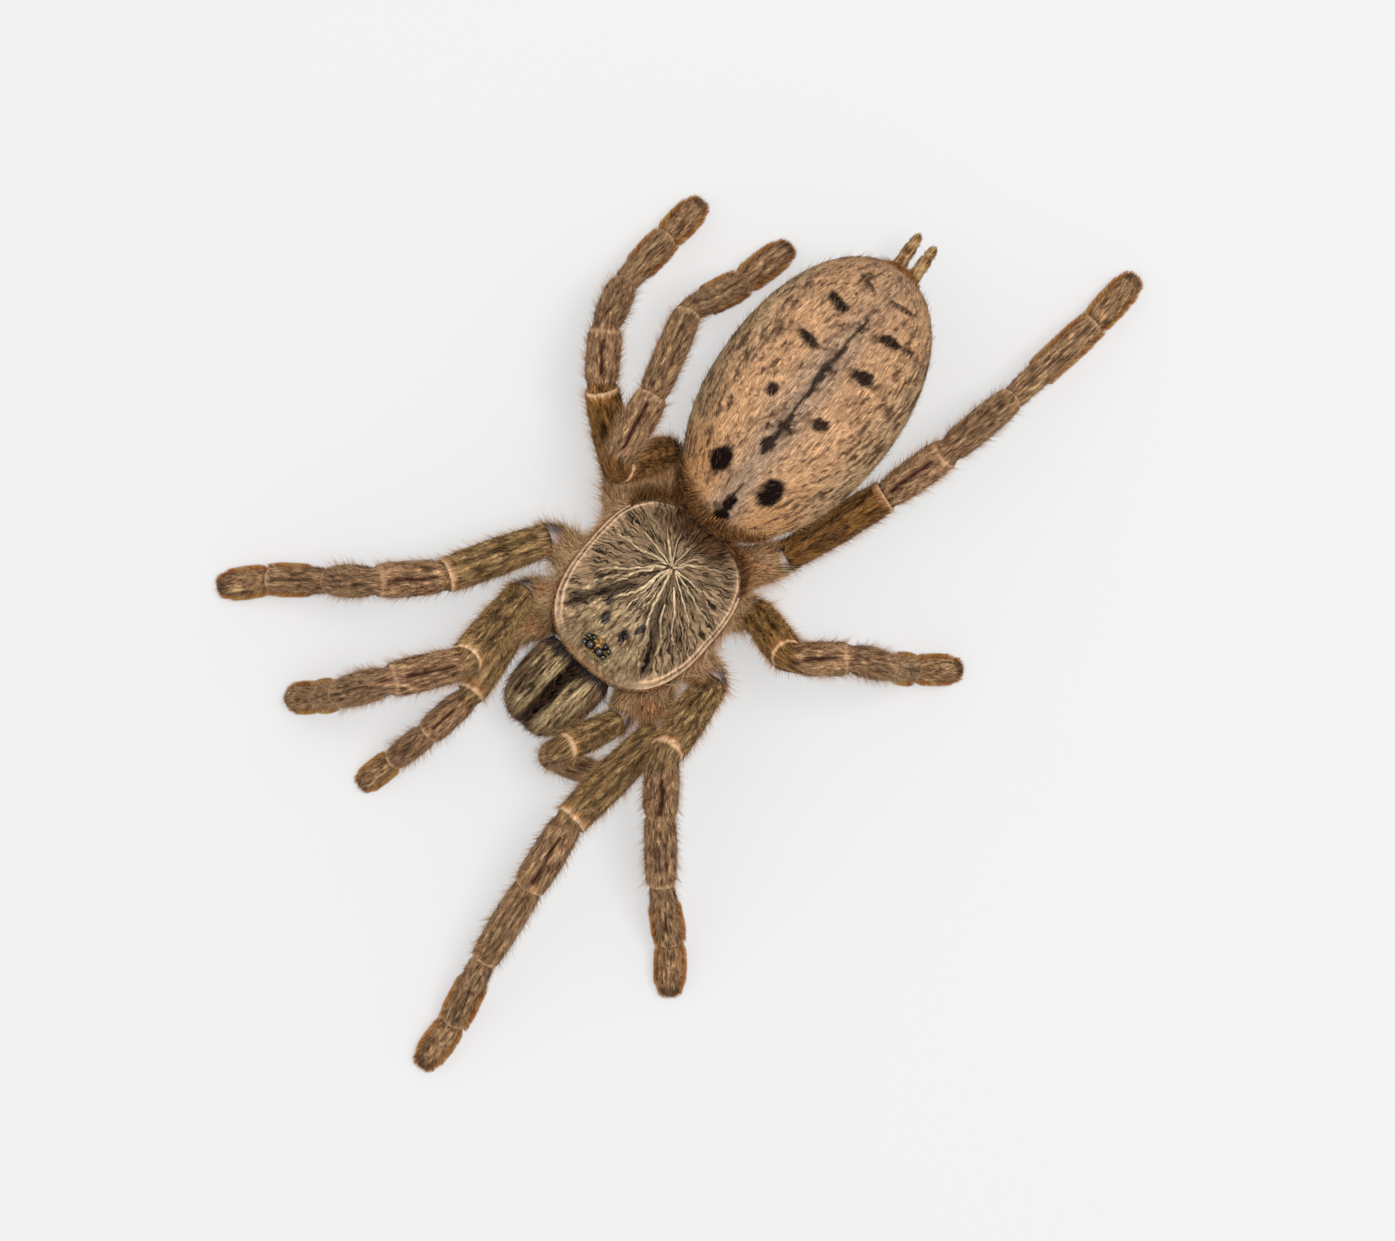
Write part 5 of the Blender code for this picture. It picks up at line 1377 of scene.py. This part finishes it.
sternum = {"y": -4.0, "halfWidth": 3.35, "halfLength": 5.3, "z": 3.35, "rise": 1.1, "wallTop": 6.5,
           "rows": 40, "around": 90}
size = np.linspace(0.01, 1, sternum["rows"])[:, None]
turn = fullTurn(sternum["around"])
x = sternum["halfWidth"] * size * np.cos(turn) * (1 - 0.12 * np.sin(turn))
y = sternum["y"] + sternum["halfLength"] * size * np.sin(turn)
z = sternum["z"] + sternum["rise"] * size ** 3.5 + 0 * x
grid = np.stack([x, y, z], -1)
wall = grid[-1:].copy()
wall[..., 2] = sternum["wallTop"]
grid = np.concatenate([grid, wall])
addPlain("sternum_plate", grid, ink(84, 60, 42), ink(128, 96, 66), 0.22, 72, "leg_fur", "sternum")
lip = ball((0.0, -10.0, 5.0), 1.25, 1.1, 24, 40)
addPlain("labium_skin", lip, ink(84, 58, 42), ink(140, 96, 62), 0.25, 73, "leg_fur")
print("underside ready")


# Waist between the two body parts.
pedicel = {"x": 0.1, "y": 3.4, "z": 6.9, "length": 5.0, "radius": 1.15, "narrow": 0.25,
           "rows": 24, "around": 40}
share = np.linspace(0, 1, pedicel["rows"])[:, None]
angle = fullTurn(pedicel["around"])
radius = pedicel["radius"] - pedicel["narrow"] * np.sin(math.pi * share)
x = pedicel["x"] + radius * np.cos(-angle)
y = np.broadcast_to(pedicel["y"] + pedicel["length"] * share, x.shape)
grid = np.stack([x, y, pedicel["z"] + 0.5 * share + radius * np.sin(-angle)], -1)
addPlain("pedicel_skin", grid, ink(96, 70, 50), ink(140, 108, 80), 0.4, 74, "abdomen_fur")


# Spinnerets: two long ones of three segments, and a short inner pair.
spinneret = {"length": 4.3, "extra": 0.35, "radius": 0.6, "rootX": -1.25, "rootY": 33.7, "rootZ": 6.95,
             "rows": 90, "around": 36, "hairs": 2600, "joints": (0.42, 0.74),
             "shares": (0.0, 0.2, 0.38, 0.42, 0.46, 0.62, 0.7, 0.74, 0.78, 0.93, 0.985, 1.0),
             "width": (0.95, 1.0, 0.88, 0.76, 0.9, 0.88, 0.76, 0.64, 0.76, 0.6, 0.34, 0.05)}
# How far from the middle and how far down each pair starts, and its length, width and hair as shares.
spinnerPairs = {"": (0.85, 0.0, 1.0, 1, 1), "inner_": (0.3, 0.3, 0.3, 0.5, 0.2)}
batches = []
for pair, (apart, lower, longShare, wideShare, hairShare) in spinnerPairs.items():
    for side, sideName in sides:
        name, number = "spinneret_" + pair + sideName, len(batches)
        start = np.array([spinneret["rootX"] + side * apart, spinneret["rootY"], spinneret["rootZ"] - lower])
        way = unit(np.array([-0.09 + side * 0.02, 1.0, -0.3]))
        share = np.linspace(0, 1, spinneret["rows"])
        radius = np.interp(share, spinneret["shares"], spinneret["width"]) * spinneret["radius"] * wideShare
        centre = start + way * (share * (spinneret["length"] + spinneret["extra"]) * longShare)[:, None]
        grid = tube(centre, *squareTo(np.broadcast_to(way, centre.shape)), radius, spinneret["around"])
        fine = streaks(grid, np.broadcast_to(way, grid.shape), 0.14, 0.6, 81)
        joint = sum(np.exp(-((share - middle) / 0.02) ** 2) for middle in spinneret["joints"])
        colour = blendTo(ink(112, 70, 40), ink(238, 186, 130), ease(fine, 0.25, 0.75))
        colour = blendTo(colour, ink(255, 214, 164), np.broadcast_to(joint[:, None], fine.shape) * 0.8)
        addSkin(name + "_skin", grid, colour, skinFinish, "spinneret_fur", *([] if pair else [name]))
        count = int((spinneret["hairs"] if fullCoat else 60) * hairShare)
        spots, root, up, draw = sprinkle(grid, gridNormals(grid), count, 600 + number)
        tint = readGrid(colour, *spots) * uneven(draw, count, 0.3, 0.5, 1.8)
        lie = swerve(np.broadcast_to(way, up.shape), up, 0.2 * draw.standard_normal(count))
        length = 0.4 * (0.6 + 0.8 * draw.random(count))
        lift = np.radians(16 + 9 * draw.standard_normal(count))
        i, j, s, t = spots
        uv = np.stack([0.02 + 0.23 * number + 0.2 * (i + s) / grid.shape[0], (j + t) / grid.shape[1]], -1)
        batches.append(growTufts(root, up, lie, length, 0.06, lift, tint, uv))
addCoat("spinneret_coat", batches, "spinneret_fur")
print("spinnerets ready")


# Floor, light and camera.
studio = {"floorHalf": 3.0, "floorColour": (0.31, 0.31, 0.31, 1), "floorGlow": 0.48, "skyStrength": 0.62,
          "keyPower": 2.7, "keySize": 0.3, "keyPlace": (0.1, 0.14, 0.65),
          "fillPower": 0.7, "fillSize": 0.6, "fillPlace": (-0.35, -0.25, 0.45)}
floorMesh = bpy.data.meshes.new("floor")
half = studio["floorHalf"]
corners = [(-half, -half, 0), (half, -half, 0), (half, half, 0), (-half, half, 0)]
floorMesh.from_pydata(corners, [], [(0, 1, 2, 3)])
floor = bpy.data.objects.new("floor", floorMesh)
bpy.context.scene.collection.objects.link(floor)
# The floor is a light table: part of its light comes from below.
floor.data.materials.append(newFinish("paleFloor", {
    "Roughness": 0.7, "Base Color": studio["floorColour"], "Emission Color": (1, 1, 1, 1),
    "Emission Strength": studio["floorGlow"]})[0])

sky = bpy.data.worlds.new("studio")
sky.use_nodes = True
sky.node_tree.nodes["Background"].inputs["Color"].default_value = (1, 1, 1, 1)
sky.node_tree.nodes["Background"].inputs["Strength"].default_value = studio["skyStrength"]
bpy.context.scene.world = sky


def addLamp(name):
    # a square lamp that points at the frame's origin
    lamp = bpy.data.lights.new(name, "AREA")
    lamp.energy, lamp.size = studio[name + "Power"], studio[name + "Size"]
    thing = bpy.data.objects.new(name, lamp)
    thing.location = studio[name + "Place"]
    x, y, z = -np.array(studio[name + "Place"])
    thing.rotation_euler = (math.atan2(math.hypot(x, y), -z), 0, math.atan2(y, x) - math.pi / 2)
    bpy.context.scene.collection.objects.link(thing)


addLamp("key")
addLamp("fill")

# The photo looks straight down from about 0.4 m; it is 1395 pixels wide at 0.092 mm each, 8 mm up.
cameraSpec = {"height": 400.0, "planeZ": 8.0, "pixel": 0.092, "imageWidth": 1395, "sensor": 36.0,
              "overX": 5.01, "overY": -2.27, "turn": 40.6}
camera = bpy.data.objects.new("camera", bpy.data.cameras.new("camera"))
camera.data.sensor_width = cameraSpec["sensor"]
span = cameraSpec["imageWidth"] * cameraSpec["pixel"]
camera.data.lens = cameraSpec["sensor"] * (cameraSpec["height"] - cameraSpec["planeZ"]) / span
camera.location = toWorld(np.array([cameraSpec["overX"], cameraSpec["overY"], cameraSpec["height"]]))
camera.rotation_euler = (0, 0, math.radians(cameraSpec["turn"]))
camera.data.clip_start, camera.data.clip_end = 0.01, 20
bpy.context.scene.collection.objects.link(camera)
bpy.context.scene.camera = camera
bpy.context.scene.view_settings.view_transform = "Standard"
print("studio ready")
